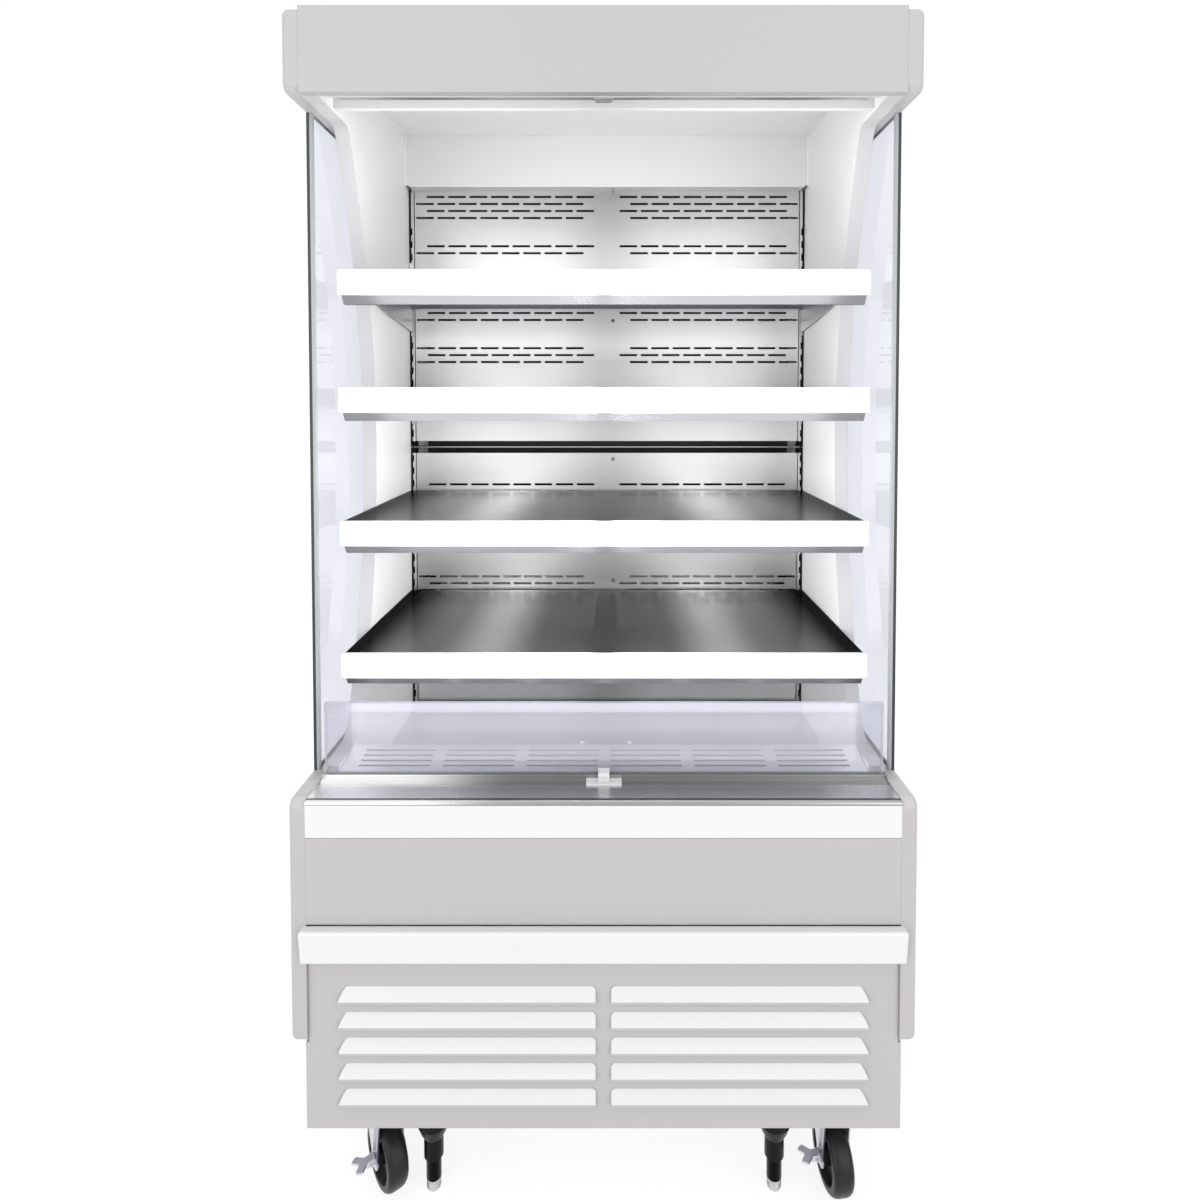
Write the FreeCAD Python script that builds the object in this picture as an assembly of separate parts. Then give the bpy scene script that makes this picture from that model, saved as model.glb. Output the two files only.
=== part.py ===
import FreeCAD, Part
import math
import os

os.makedirs("parts", exist_ok=True)

# Open multideck display fridge. Millimetres, Z up, the open front faces -Y.
# Depths are measured rearwards from the front plane of the base.
V = FreeCAD.Vector

# ---- Driving dimensions ------------------------------------------------------

# overall
WIDTH = 921.0
HEIGHT = 1781.0
DEPTH = 719.0
BUMPER_PROUD = 16.0
UNDERSIDE = 138.0

# end caps that close the header and the base at both sides
CAP_T = 24.5
CAP_ROUND = 8.0
CAP_NOSE = 16.0
BASE_CAP_BOTTOM = 269.0
BASE_CAP_TOP = 636.0

# insulated body
WALL_T = 24.0
BACK_T = 45.0
ROOF_T = 24.0
TUB_BOTTOM = 440.0
TUB_FLOOR_T = 35.0
TUB_FRONT = 20.0
TUB_FRONT_T = 32.0
TUB_CORNER = 20.0
ROOF_DUCT_Z = 4.0
ROOF_DUCT_T = 14.0

# concave front edge of the side walls
EDGE_TOP_DEPTH = 149.0
EDGE_MID_DEPTH = 278.0
EDGE_FOOT_DEPTH = 174.0
EDGE_FOOT_Z = 650.0
EDGE_TOP_ROUND = 22.0
EDGE_FOOT_ROUND = 45.0
WALL_FOOT_DEPTH = 74.0

# side glass and the channel on its front edge
GLASS_T = 6.0
GLASS_FRONT = 90.0
GLASS_REAR_INSET = 13.0
GLASS_INSET = 5.5
GLASS_BITE = 14.0
GLASS_GAP = 0.3
TRIM_WALL = 1.3
TRIM_BITE = 7.0
REAR_POST = 24.0

# header
HEADER_H = 122.5
HEADER_SETBACK = 10.0
SHEET = 1.5
FASCIA_RETURN = 14.0
SOFFIT_RISE = 17.0
SOFFIT_DEPTH = 81.0
SOFFIT_STEP = 15.0
SOFFIT_FOOT = 11.0

# rear air duct, its cover and the slotted panels
DUCT_T = 146.0
TOP_COVER_T = 30.0
TOP_COVER_DROP = 5.5
TOP_COVER_CHAMFER = 8.0
SPLIT_ABOVE_SHELF = 78.0
SPLIT_H = 25.0
CROSS_RAIL_H = 5.0
CROSS_RAIL_T = 6.0
PANEL_FLANGE = 15.0
PANEL_GAP = 1.0
SLOT_L = 36.8
SLOT_H = 4.2
SLOT_COLUMN_PITCH = 44.6
SLOT_ROW_PITCH = 14.5
SLOT_MIDDLE = 26.5
SLOT_STAGGER = 22.3
SLOTS_BELOW_LOW_SHELVES = 3.0
SLOTS_ABOVE_THIRD_SHELF = 59.0
SLOTS_BELOW_TOP_SHELF = 36.75
SLOTS_ABOVE_TOP_SHELF = 102.25
SLOTS_BELOW_HEADER = 61.5

# shelf uprights and shelves
UPRIGHT_W = 10.0
UPRIGHT_DEPTH = 25.0
UPRIGHT_PROUD = 4.0
UPRIGHT_T = 1.8
HOLE_PITCH = 26.25
HOLE_H = 14.0
HOLE_W = 3.4
HOLE_DROP = 12.0
HOLES_BELOW = 8
HOLES_END = 40.0
FIRST_SHELF_RISE = 258.0
SHELF_STEPS = (0, 8, 16, 23)
SHELF_FRONT = 104.0
SHELF_REAR_GAP = 12.0
SHELF_SHEET = 1.2
SHELF_SIDE_GAP = 1.5
SHELF_FLANGE = 30.0
SHELF_NOSE = 53.0
SHELF_NOSE_SLANT = 9.0
RAIL_T = 7.0
RAIL_H = 40.0
RAIL_OVERHANG = 3.0
RAIL_SHEET = 2.0
RAIL_BEVEL = 2.0
BRACKET_T = 3.0
BRACKET_REAR_H = 62.0
BRACKET_FRONT_H = 24.0
BRACKET_REACH = 330.0
HOOK_H = 12.0
HOOK_L = 6.0

# ledge, band, front panel, bumper
LEDGE_TOP = 634.0
LEDGE_NOSE = 6.0
BAND_TOP = 627.0
BAND_BOTTOM = 579.0
PANEL_BOTTOM = 450.0
SEAM = 0.6
BUMPER_TOP = 448.0
BUMPER_BOTTOM = 398.0
BUMPER_FOOT = 9.0
BUMPER_END_INSET = 17.5
BUMPER_WALL = 2.5
BUMPER_ROUND = 4.0
BUMPER_END_ROUND = 5.0
FIT = 0.3

# riser glass and its channel
RISER_DEPTH = 64.0
RISER_T = 5.7
RISER_TOP = 753.0
RISER_END_GAP = 6.0
RISER_RIM_H = 14.0
RISER_RIM_T = 8.0
CHANNEL_LIP = 1.7
CHANNEL_H = 8.0

# deck and return-air grille
DECK_Z = 560.0
DECK_FRONT = 140.0
DECK_UPSTAND_TOP = 652.0
GRILLE_LENGTH = 67.0
GRILLE_SLOPE = 10.0
GRILLE_ROWS = 4
GRILLE_COLUMNS = 6
GRILLE_SLOT_W = 5.0
GRILLE_ROW_PITCH = 13.0
GRILLE_BRIDGE = 20.0
GRILLE_MARGIN = 14.5

# curtain catch on the ledge
CATCH_W = 17.0
CATCH_H = 19.0
CATCH_DEPTH = 50.0
CATCH_T = 11.0
CATCH_BASE_W = 54.0
CATCH_BASE_H = 3.0

# night curtain
CURTAIN_DEPTH = 50.0
ROLL_R = 18.0
ROLL_END_GAP = 26.0
PIN_R = 5.0
PIN_L = 7.5
BORE_GAP = 0.06
CASSETTE_GAP = 2.5
CASSETTE_T = 1.5
CASSETTE_SEAT = 5.0
MOUTH_DROP = 2.0
BRACKET_PLATE = 3.0
FABRIC_T = 0.6
FABRIC_GAP = 0.3
BAR_T = 13.0
BAR_H = 18.0
BAR_END_GAP = 20.0
BAR_SLOT_GAP = 2.5
BAR_LIFT = 4.0
TAB_W = 28.0
TAB_H = 5.0
TAB_T = 4.0
TAB_ROUND = 4.0
BAR_ROUND = 3.0

# air-discharge grille
DISCHARGE_FRONT = 104.0
DISCHARGE_W = 42.0
DISCHARGE_H = 22.0
DISCHARGE_END_GAP = 24.0
DISCHARGE_COLUMNS = 32
DISCHARGE_ROWS = 2
DISCHARGE_WEB = 3.0

# louvred panel
LOUVRE_SETBACK = 5.0
LOUVRE_ROWS = 5
LOUVRE_PITCH = 38.75
LOUVRE_DROP = 41.5
LOUVRE_H = 26.0
LOUVRE_INNER = 11.5
LOUVRE_MARGIN = 69.0
LOUVRE_PROUD = 7.0
LOUVRE_SHEET = 1.2
LOUVRE_SLANT = 14.0
LOUVRE_BULGE = 4.0
LOUVRE_CORNER = 6.0

# folded chassis
CHASSIS_INSET = 20.5
CHASSIS_FRONT = 7.0
CHASSIS_REAR_GAP = 1.0
BEAM_H = 42.0
BEAM_REAR_INSET = 23.0
BEAM_W = 20.0

# machine-space rear grille and cord gland
REAR_GRILLE_INSET = 15.0
REAR_SLOT_W = 10.0
REAR_SLOT_H = 95.0
REAR_SLOT_PITCH = 26.0
REAR_SLOT_MARGIN = 145.0
GLAND_R = 11.0
GLAND_BORE_R = 6.0
GLAND_COLLAR_R = 15.0
GLAND_COLLAR_L = 4.0
GLAND_RISE = 77.0
GLAND_INSET = 130.5
GLAND_GAP = 0.5
GLAND_END_INSET = 1.0

# casters
WHEEL_R = 50.0
WHEEL_W = 32.0
TREAD_CROWN = 7.0
TREAD_SHOULDER = 11.0
TREAD_STEPS = 5
RIM_T = 13.0
WEB_HALF = 6.0
HUB_R = 13.0
HUB_GAP = 0.6
RIM_STEP = 3.0
AXLE_R = 4.0
TRAIL = 24.0
KING_INSET = 108.5
KING_DEPTH = 78.0
KING_REAR_INSET = 71.0
PLATE_L = 95.0
PLATE_W = 72.0
PLATE_T = 3.0
PLATE_CORNER = 8.0
PLATE_BOLT_R = 4.5
PLATE_BOLT_INSET = 11.0
RACE_R = 24.0
RACE_H = 8.0
RACE_BEVEL = 5.0
KING_R = 6.0
KING_HEAD_T = 3.0
KING_HEAD_PROUD = 4.0
KING_FIT = 0.3
FORK_T = 2.5
FORK_GAP = 3.0
FORK_TOP_W = 60.0
FORK_RIB_T = 3.0
FORK_RIB_INSET = 7.0
FORK_END_R = 11.0
FORK_EDGE = 3.0
FORK_CROWN_T = 3.5
FORK_CROWN_SHARE = 0.8
FORK_DISC_R = 27.0
FORK_DISC_H = 9.0
RACE_CLEAR = 0.5
LEVER_T = 6.0
LEVER_STEP = 1.0
LEVER_HUB_R = 9.0
LEVER_REACH = 6.0
LEVER_GAP = 0.5
PEDAL_L = 28.0
PEDAL_W = 30.0
PEDAL_T = 3.0
PEDAL_NECK = 12.0
PEDAL_NOTCH = 9.0
PEDAL_ROUND = 1.8
NUT_T = 5.0
NUT_PROUD = 3.0
NUT_GAP = 1.5
YAW_FRONT_LEFT = 38.0
YAW_FRONT_RIGHT = 7.0
YAW_REAR_LEFT = -20.0
YAW_REAR_RIGHT = 25.0

# levelling legs
LEG_TO_KING = 89.0
LEG_DEPTH = 50.0
LEG_REAR_INSET = 43.0
SOCKET_TOP_R = 25.0
SOCKET_R = 15.0
SOCKET_COLLAR_H = 30.0
SOCKET_FLARE_H = 22.0
SOCKET_H = 83.0
SOCKET_ROOF_T = 6.0
FOOT_R = 11.5
FOOT_TIP_R = 10.5
FOOT_TIP_H = 15.7
FOOT_BOTTOM = 3.0
FOOT_EDGE = 1.0
FOOT_ROD_GAP = 24.0

# condensing unit
COIL_INSET = 70.5
COIL_W = 330.0
COIL_DEPTH = 32.0
COIL_T = 40.0
COIL_H = 248.5
COIL_LIFT = 8.0
SHROUD_GAP = 12.0
FAN_R = 104.0
FAN_TIP_GAP = 5.0
MOTOR_R = 38.0
MOTOR_L = 60.0
MOTOR_EDGE = 4.0
MOTOR_GAP = 4.0
BEND_R = 4.0
BENDS = 4
BLADES = 5
BLADE_T = 1.6
BLADE_PITCH = 26.0
BLADE_ROOT = 4.0
HUB_SHARE = 0.3
HUB_DEPTH_SHARE = 0.26
HUB_DOME = 3.0
FAN_BACK_GAP = 2.0
RING_EXTRA = 10.0
SHAFT_R = 3.0
SHAFT_L = 14.0
ARM_W = 10.0
ARM_T = 3.0
ARM_DROP = 9.0
ARMS = 3
COMPRESSOR_INSET = 270.5
COMPRESSOR_REAR_INSET = 373.0
COMPRESSOR_R = 82.0
COMPRESSOR_H = 190.0
SEAM_PROUD = 3.0
DOME_H = 48.0
FOOT_TURN = 28.0
STUB_R = 5.0
STUB_L = 40.0
GROMMET_R = 13.0
GROMMET_H = 14.0
MOUNT_PLATE = 3.0
MOUNT_TRIM = 15.0

# evaporator in the rear duct
EVAP_FAN_X = 180.0
EVAP_FAN_R = 54.0
EVAP_PLATE_RISE = 97.0
EVAP_MOTOR_R = 22.0
EVAP_MOTOR_L = 30.0
EVAP_END_GAP = 57.0
EVAP_CORE_RISE = 78.0
EVAP_CORE_H = 250.0
EVAP_SIDE_GAP = 24.25

# drain pan and control box
PAN_L = 300.0
PAN_W = 190.0
PAN_H = 34.0
PAN_CORNER = 12.0
PAN_INSET = 220.5
PAN_REAR_INSET = 263.0
BOX_W = 150.0
BOX_L = 90.0
BOX_H = 130.0

# ---- Derived places ----------------------------------------------------------

FRONT_Y = -DEPTH / 2 + BUMPER_PROUD
REAR = DEPTH - BUMPER_PROUD
HALF = WIDTH / 2
CAP_IN = HALF - CAP_T
WALL_IN = CAP_IN - WALL_T
GLASS_OUT = HALF - GLASS_INSET
GLASS_IN = GLASS_OUT - GLASS_T
GLASS_REAR = REAR - GLASS_REAR_INSET
CEILING = HEIGHT - ROOF_T
HEADER_BOTTOM = HEIGHT - HEADER_H
BACK_FRONT = REAR - BACK_T
DUCT_FRONT = BACK_FRONT - DUCT_T
TUB_FLOOR = TUB_BOTTOM + TUB_FLOOR_T
LEDGE_UNDER = LEDGE_TOP - SHEET
TOP_COVER_DEPTH = DUCT_FRONT - TOP_COVER_T
TOP_COVER_BOTTOM = HEADER_BOTTOM - TOP_COVER_DROP
PANEL_HALF = WALL_IN - UPRIGHT_W - PANEL_GAP
SLOT_COLUMNS = 1 + int((PANEL_HALF - SLOT_MIDDLE - SLOT_STAGGER - SLOT_L) / SLOT_COLUMN_PITCH)
SHELF_HALF = WALL_IN - SHELF_SIDE_GAP
SHELF_REAR = DUCT_FRONT - SHELF_REAR_GAP
SHELF_BASE_Z = DECK_Z + FIRST_SHELF_RISE
HOLES_ABOVE = int((TOP_COVER_BOTTOM - HOLES_END - SHELF_BASE_Z) / HOLE_PITCH)
PANEL_SPLIT_LOW = SHELF_BASE_Z + SHELF_STEPS[1] * HOLE_PITCH + SPLIT_ABOVE_SHELF
PANEL_SPLIT_HIGH = PANEL_SPLIT_LOW + SPLIT_H
RAIL_HALF = WALL_IN + RAIL_OVERHANG
RISER_HALF = CAP_IN - RISER_END_GAP
BUMPER_HALF = HALF - BUMPER_END_INSET
ROLL_HALF = WALL_IN - ROLL_END_GAP
BAR_HALF = WALL_IN - BAR_END_GAP
DISCHARGE_HALF = WALL_IN - DISCHARGE_END_GAP
LOUVRE_OUTER = HALF - LOUVRE_MARGIN
LOUVRE_TOP = BUMPER_BOTTOM - LOUVRE_DROP
CHASSIS_HALF = HALF - CHASSIS_INSET
PAN_FLOOR = UNDERSIDE + SHEET
KING_X = HALF - KING_INSET
KING_REAR_DEPTH = REAR - KING_REAR_INSET
LEG_X = KING_X - LEG_TO_KING
LEG_REAR_DEPTH = REAR - LEG_REAR_INSET
COIL_X0 = -HALF + COIL_INSET
COIL_X1 = COIL_X0 + COIL_W
COIL_TOP = PAN_FLOOR + COIL_H
COMPRESSOR_X = HALF - COMPRESSOR_INSET
COMPRESSOR_DEPTH = REAR - COMPRESSOR_REAR_INSET
PAN_X = -HALF + PAN_INSET
PAN_DEPTH = REAR - PAN_REAR_INSET
REAR_GRILLE_DEPTH = REAR - REAR_GRILLE_INSET
GLAND_X = HALF - GLAND_INSET
GLAND_Z = UNDERSIDE + GLAND_RISE
GLAND_END = REAR - GLAND_END_INSET
EVAP_PLATE_Z = TUB_FLOOR + EVAP_PLATE_RISE
EVAP_CORE_Z = EVAP_PLATE_Z + EVAP_CORE_RISE
EVAP_CORE_HALF = WALL_IN - EVAP_END_GAP
ROLL_DEPTH = CURTAIN_DEPTH - FABRIC_T / 2 + FABRIC_T + FABRIC_GAP + ROLL_R
CASSETTE_R = ROLL_R + CASSETTE_GAP + CASSETTE_T
ROLL_Z = CEILING - CASSETTE_SEAT - CASSETTE_R
BAR_BOTTOM = HEADER_BOTTOM + SHEET + BAR_LIFT
BAR_TOP = BAR_BOTTOM + BAR_H


def shelf_top(step):
    """Height of a shelf that hangs in the given row of upright holes."""
    return SHELF_BASE_Z + step * HOLE_PITCH


# ---- Helpers -----------------------------------------------------------------

def y_at(depth):
    """Y of a place this far behind the front plane of the base."""
    return FRONT_Y + depth


def block(x0, x1, d0, d1, z0, z1):
    """Box between two x values, two depths and two heights."""
    return Part.makeBox(x1 - x0, d1 - d0, z1 - z0, V(x0, y_at(d0), z0))


def face_of(points):
    """Flat face inside a closed run of points."""
    return Part.Face(Part.makePolygon(points + [points[0]]))


def section(points, x0, x1):
    """Prism along X from an outline of (depth, z) points."""
    outline = [V(x0, y_at(d), z) for d, z in points]
    return face_of(outline).extrude(V(x1 - x0, 0, 0))


def folded(points, t):
    """Outline of a sheet of thickness t folded along (a, b) points; t lies to the left."""
    normals = []
    for (a0, b0), (a1, b1) in zip(points, points[1:]):
        run = math.hypot(a1 - a0, b1 - b0)
        normals.append(((b0 - b1) / run, (a1 - a0) / run))
    offset = []
    for i, (a, b) in enumerate(points):
        before = normals[max(i - 1, 0)]
        after = normals[min(i, len(normals) - 1)]
        share = t / (1.0 + before[0] * after[0] + before[1] * after[1])
        offset.append((a + (before[0] + after[0]) * share, b + (before[1] + after[1]) * share))
    return points + offset[::-1]


def sheet_x(points, t, x0, x1):
    """Folded sheet whose fold lines run along X."""
    return section(folded(points, t), x0, x1)


def curved_face(path, x):
    """Face at x from (depth, z) points; a (middle, end) pair is an arc."""
    edges = []
    at = path[0]
    for step in path[1:] + [path[0]]:
        if isinstance(step[0], tuple):
            middle, end = step
            arc = Part.Arc(*[V(x, y_at(d), z) for d, z in (at, middle, end)])
            edges.append(arc.toShape())
            at = end
        else:
            edges.append(Part.makeLine(V(x, y_at(at[0]), at[1]), V(x, y_at(step[0]), step[1])))
            at = step
    return Part.Face(Part.Wire(edges))


def punched(outline, holes, push):
    """Sheet with holes, made from closed runs of points."""
    wires = [Part.makePolygon(run + [run[0]]) for run in [outline] + holes]
    return Part.makeFace(wires, "Part::FaceMakerBullseye").extrude(push)


def upright_rect(x0, x1, z0, z1, depth):
    """Corner points of a rectangle that faces the front."""
    y = y_at(depth)
    return [V(x0, y, z0), V(x1, y, z0), V(x1, y, z1), V(x0, y, z1)]


def level_rect(x0, x1, d0, d1, z):
    """Corner points of a level rectangle."""
    return [V(x0, y_at(d0), z), V(x1, y_at(d0), z), V(x1, y_at(d1), z), V(x0, y_at(d1), z)]


def edges_on(shape, x=None, y=None, z=None):
    """Edges that lie wholly at the given coordinates."""
    found = []
    for edge in shape.Edges:
        box = edge.BoundBox
        spans = ((x, box.XMin, box.XMax), (y, box.YMin, box.YMax), (z, box.ZMin, box.ZMax))
        if all(at is None or max(abs(low - at), abs(high - at)) < 0.01 for at, low, high in spans):
            found.append(edge)
    return found


def mirrored(shape):
    """Copy on the other side of the middle plane."""
    return shape.mirror(V(0, 0, 0), V(1, 0, 0))


def pair(shape):
    """The piece and its mirror image, as two solids."""
    return Part.makeCompound([shape, mirrored(shape)])


def joined(first, *rest):
    """One solid from touching or overlapping pieces."""
    return first.fuse(list(rest)).removeSplitter()


def revolved(points):
    """Solid of revolution about Z from (radius, z) points."""
    return face_of([V(r, 0, z) for r, z in points]).revolve(V(0, 0, 0), V(0, 0, 1), 360)


def tube(r, wall, z0, z1):
    """Ring about Z."""
    return Part.makeCylinder(r + wall, z1 - z0, V(0, 0, z0)).cut(Part.makeCylinder(r, z1 - z0, V(0, 0, z0)))


# ---- Insulated body ----------------------------------------------------------

def insulated_shell():
    """Foamed C-shaped body: front of the tub, floor, back and roof, with the roof's air duct."""
    tub_inside = TUB_FRONT + TUB_FRONT_T
    body = section([
        (TUB_FRONT, TUB_BOTTOM), (REAR, TUB_BOTTOM), (REAR, HEIGHT),
        (HEADER_SETBACK + SHEET, HEIGHT), (HEADER_SETBACK + SHEET, CEILING), (BACK_FRONT, CEILING),
        (BACK_FRONT, TUB_FLOOR), (tub_inside, TUB_FLOOR), (tub_inside, LEDGE_UNDER),
        (TUB_FRONT, LEDGE_UNDER)], -WALL_IN, WALL_IN)
    corners = edges_on(body, y=y_at(BACK_FRONT), z=TUB_FLOOR)
    corners += edges_on(body, y=y_at(tub_inside), z=TUB_FLOOR)
    body = body.makeFillet(TUB_CORNER, corners)
    duct_low = CEILING + ROOF_DUCT_Z
    discharge_rear = DISCHARGE_FRONT + DISCHARGE_W
    duct = block(-DISCHARGE_HALF, DISCHARGE_HALF, DISCHARGE_FRONT, BACK_FRONT,
                 duct_low, duct_low + ROOF_DUCT_T)
    outlet = block(-DISCHARGE_HALF, DISCHARGE_HALF, DISCHARGE_FRONT, discharge_rear, CEILING, duct_low)
    inlet = block(-DISCHARGE_HALF, DISCHARGE_HALF, DUCT_FRONT + CROSS_RAIL_T, BACK_FRONT, CEILING, duct_low)
    return body.cut([duct, outlet, inlet])


def side_wall():
    """Insulated side wall with the concave front edge and the rear post that holds the glass."""
    middle_z = (HEADER_BOTTOM + EDGE_FOOT_Z) / 2
    lip_front = HEADER_SETBACK + SHEET
    lip_rear = HEADER_SETBACK + FASCIA_RETURN
    outline = curved_face([
        (TUB_FRONT, TUB_BOTTOM), (TUB_FRONT, LEDGE_UNDER), (WALL_FOOT_DEPTH, LEDGE_UNDER),
        (WALL_FOOT_DEPTH, EDGE_FOOT_Z), (EDGE_FOOT_DEPTH, EDGE_FOOT_Z),
        ((EDGE_MID_DEPTH, middle_z), (EDGE_TOP_DEPTH, HEADER_BOTTOM)),
        (lip_rear, HEADER_BOTTOM), (lip_rear, HEADER_BOTTOM + SHEET), (lip_front, HEADER_BOTTOM + SHEET),
        (lip_front, HEIGHT), (REAR, HEIGHT), (REAR, TUB_BOTTOM)], WALL_IN)
    wall = outline.extrude(V(WALL_T, 0, 0))
    wall = wall.makeFillet(EDGE_TOP_ROUND, edges_on(wall, y=y_at(EDGE_TOP_DEPTH), z=HEADER_BOTTOM))
    wall = wall.makeFillet(EDGE_FOOT_ROUND, edges_on(wall, y=y_at(EDGE_FOOT_DEPTH), z=EDGE_FOOT_Z))
    post = block(CAP_IN, HALF, REAR - REAR_POST, REAR, BASE_CAP_TOP, HEADER_BOTTOM)
    wall = joined(wall, post)
    groove = block(GLASS_IN - GLASS_GAP, GLASS_OUT + GLASS_GAP, REAR - REAR_POST, GLASS_REAR + GLASS_GAP,
                   BASE_CAP_TOP, HEADER_BOTTOM)
    return wall.cut(groove)


def side_glass():
    """Tempered side pane, held in grooves of the caps and the rear post."""
    return block(GLASS_IN, GLASS_OUT, GLASS_FRONT, GLASS_REAR,
                 BASE_CAP_TOP - GLASS_BITE + GLASS_GAP, HEADER_BOTTOM + GLASS_BITE - GLASS_GAP)


def glass_trims():
    """Black channel that grips the front edge of each side pane."""
    grip = 0.1
    channel = block(GLASS_IN - grip - TRIM_WALL, GLASS_OUT + grip + TRIM_WALL,
                    GLASS_FRONT - grip - TRIM_WALL, GLASS_FRONT + TRIM_BITE, BASE_CAP_TOP, HEADER_BOTTOM)
    inside = block(GLASS_IN - grip, GLASS_OUT + grip, GLASS_FRONT - grip, GLASS_FRONT + TRIM_BITE,
                   BASE_CAP_TOP, HEADER_BOTTOM)
    return pair(channel.cut(inside))


# ---- Header ------------------------------------------------------------------

def end_cap(front, z0, z1, groove_z0, groove_z1):
    """Rounded end cap with the groove that holds the side glass."""
    cap = block(CAP_IN, HALF, front, REAR, z0, z1)
    nose = edges_on(cap, y=y_at(front), z=z0) + edges_on(cap, y=y_at(front), z=z1)
    cap = cap.makeFillet(CAP_NOSE, nose)
    cap = cap.makeFillet(CAP_ROUND, edges_on(cap, x=HALF))
    groove = block(GLASS_IN - GLASS_GAP, GLASS_OUT + GLASS_GAP, GLASS_FRONT - GLASS_GAP,
                   GLASS_REAR + GLASS_GAP, groove_z0, groove_z1)
    return cap.cut(groove)


def header_fascia():
    """Blank front sheet of the header with its bottom return."""
    path = [(HEADER_SETBACK + FASCIA_RETURN, HEADER_BOTTOM), (HEADER_SETBACK, HEADER_BOTTOM),
            (HEADER_SETBACK, HEIGHT)]
    return sheet_x(path, -SHEET, -CAP_IN, CAP_IN)


def soffit():
    """Sloping underside of the header, slotted for the curtain bar."""
    lip_z = HEADER_BOTTOM + SHEET
    high_z = lip_z + SOFFIT_RISE
    lip_depth = HEADER_SETBACK + FASCIA_RETURN
    path = [(HEADER_SETBACK + SHEET, lip_z), (lip_depth, lip_z), (SOFFIT_DEPTH, high_z),
            (SOFFIT_DEPTH, high_z - SOFFIT_STEP), (SOFFIT_DEPTH + SOFFIT_FOOT, high_z - SOFFIT_STEP),
            (SOFFIT_DEPTH + SOFFIT_FOOT, CEILING)]
    plate = sheet_x(path, SHELF_SHEET, -WALL_IN, WALL_IN)
    reach = BAR_T / 2 + BAR_SLOT_GAP
    slot_half = BAR_HALF + BAR_SLOT_GAP
    slot = block(-slot_half, slot_half, CURTAIN_DEPTH - reach, CURTAIN_DEPTH + reach, lip_z, CEILING)
    return plate.cut(slot)


def discharge_grille():
    """Grid under the roof duct that sends the air curtain down."""
    z = CEILING - DISCHARGE_H
    rear = DISCHARGE_FRONT + DISCHARGE_W
    cell_x = (2 * DISCHARGE_HALF - DISCHARGE_WEB) / DISCHARGE_COLUMNS
    cell_y = (DISCHARGE_W - DISCHARGE_WEB) / DISCHARGE_ROWS
    cells = []
    for column in range(DISCHARGE_COLUMNS):
        for row in range(DISCHARGE_ROWS):
            x = -DISCHARGE_HALF + DISCHARGE_WEB + column * cell_x
            d = DISCHARGE_FRONT + DISCHARGE_WEB + row * cell_y
            cells.append(level_rect(x, x + cell_x - DISCHARGE_WEB, d, d + cell_y - DISCHARGE_WEB, z))
    outline = level_rect(-DISCHARGE_HALF, DISCHARGE_HALF, DISCHARGE_FRONT, rear, z)
    return punched(outline, cells, V(0, 0, DISCHARGE_H))


# ---- Rear duct: cover, slotted panels, uprights --------------------------------

def top_cover():
    """Cover at the top of the rear duct, with clipped lower corners."""
    path = [(DUCT_FRONT, TOP_COVER_BOTTOM), (TOP_COVER_DEPTH, TOP_COVER_BOTTOM), (TOP_COVER_DEPTH, CEILING)]
    cover = sheet_x(path, -SHEET, -WALL_IN, WALL_IN)
    y = y_at(TOP_COVER_DEPTH)
    corner = [V(WALL_IN, y, TOP_COVER_BOTTOM), V(WALL_IN - TOP_COVER_CHAMFER, y, TOP_COVER_BOTTOM),
              V(WALL_IN, y, TOP_COVER_BOTTOM + TOP_COVER_CHAMFER)]
    clip = face_of(corner).extrude(V(0, DUCT_FRONT - TOP_COVER_DEPTH, 0))
    return cover.cut([clip, mirrored(clip)])


def slot_row(z, shift):
    """One row of slots on both sides of the middle."""
    holes = []
    for column in range(SLOT_COLUMNS):
        x = SLOT_MIDDLE + shift + column * SLOT_COLUMN_PITCH
        holes.append(upright_rect(x, x + SLOT_L, z, z + SLOT_H, DUCT_FRONT))
        holes.append(upright_rect(-x - SLOT_L, -x, z, z + SLOT_H, DUCT_FRONT))
    return holes


def slotted_panel(z0, z1, groups):
    """Back panel with staggered rows of air slots; groups give the lowest z and the number of rows."""
    holes = []
    for start, rows in groups:
        for row in range(rows):
            holes += slot_row(start + row * SLOT_ROW_PITCH - SLOT_H / 2, SLOT_STAGGER * ((row + 1) % 2))
    outline = upright_rect(-PANEL_HALF, PANEL_HALF, z0, z1, DUCT_FRONT)
    plate = punched(outline, holes, V(0, SHEET, 0))
    flange = block(PANEL_HALF - SHEET, PANEL_HALF, DUCT_FRONT, DUCT_FRONT + PANEL_FLANGE, z0, z1)
    return joined(plate, flange, mirrored(flange))


def upper_slots():
    """Groups of slot rows around the two upper shelves and under the header."""
    third, fourth = [shelf_top(step) for step in SHELF_STEPS[2:]]
    return [(third + SLOTS_ABOVE_THIRD_SHELF, 3), (fourth - SLOTS_BELOW_TOP_SHELF, 3),
            (fourth + SLOTS_ABOVE_TOP_SHELF, 2), (HEADER_BOTTOM - SLOTS_BELOW_HEADER, 5)]


def lower_slots():
    """Groups of slot rows behind the two lower shelves."""
    first, second = [shelf_top(step) - SLOTS_BELOW_LOW_SHELVES for step in SHELF_STEPS[:2]]
    return [(first, 3), (second, 2)]


def hole_z(index):
    """Middle height of a hole in the uprights."""
    return SHELF_BASE_Z - HOLE_DROP + index * HOLE_PITCH


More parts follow.
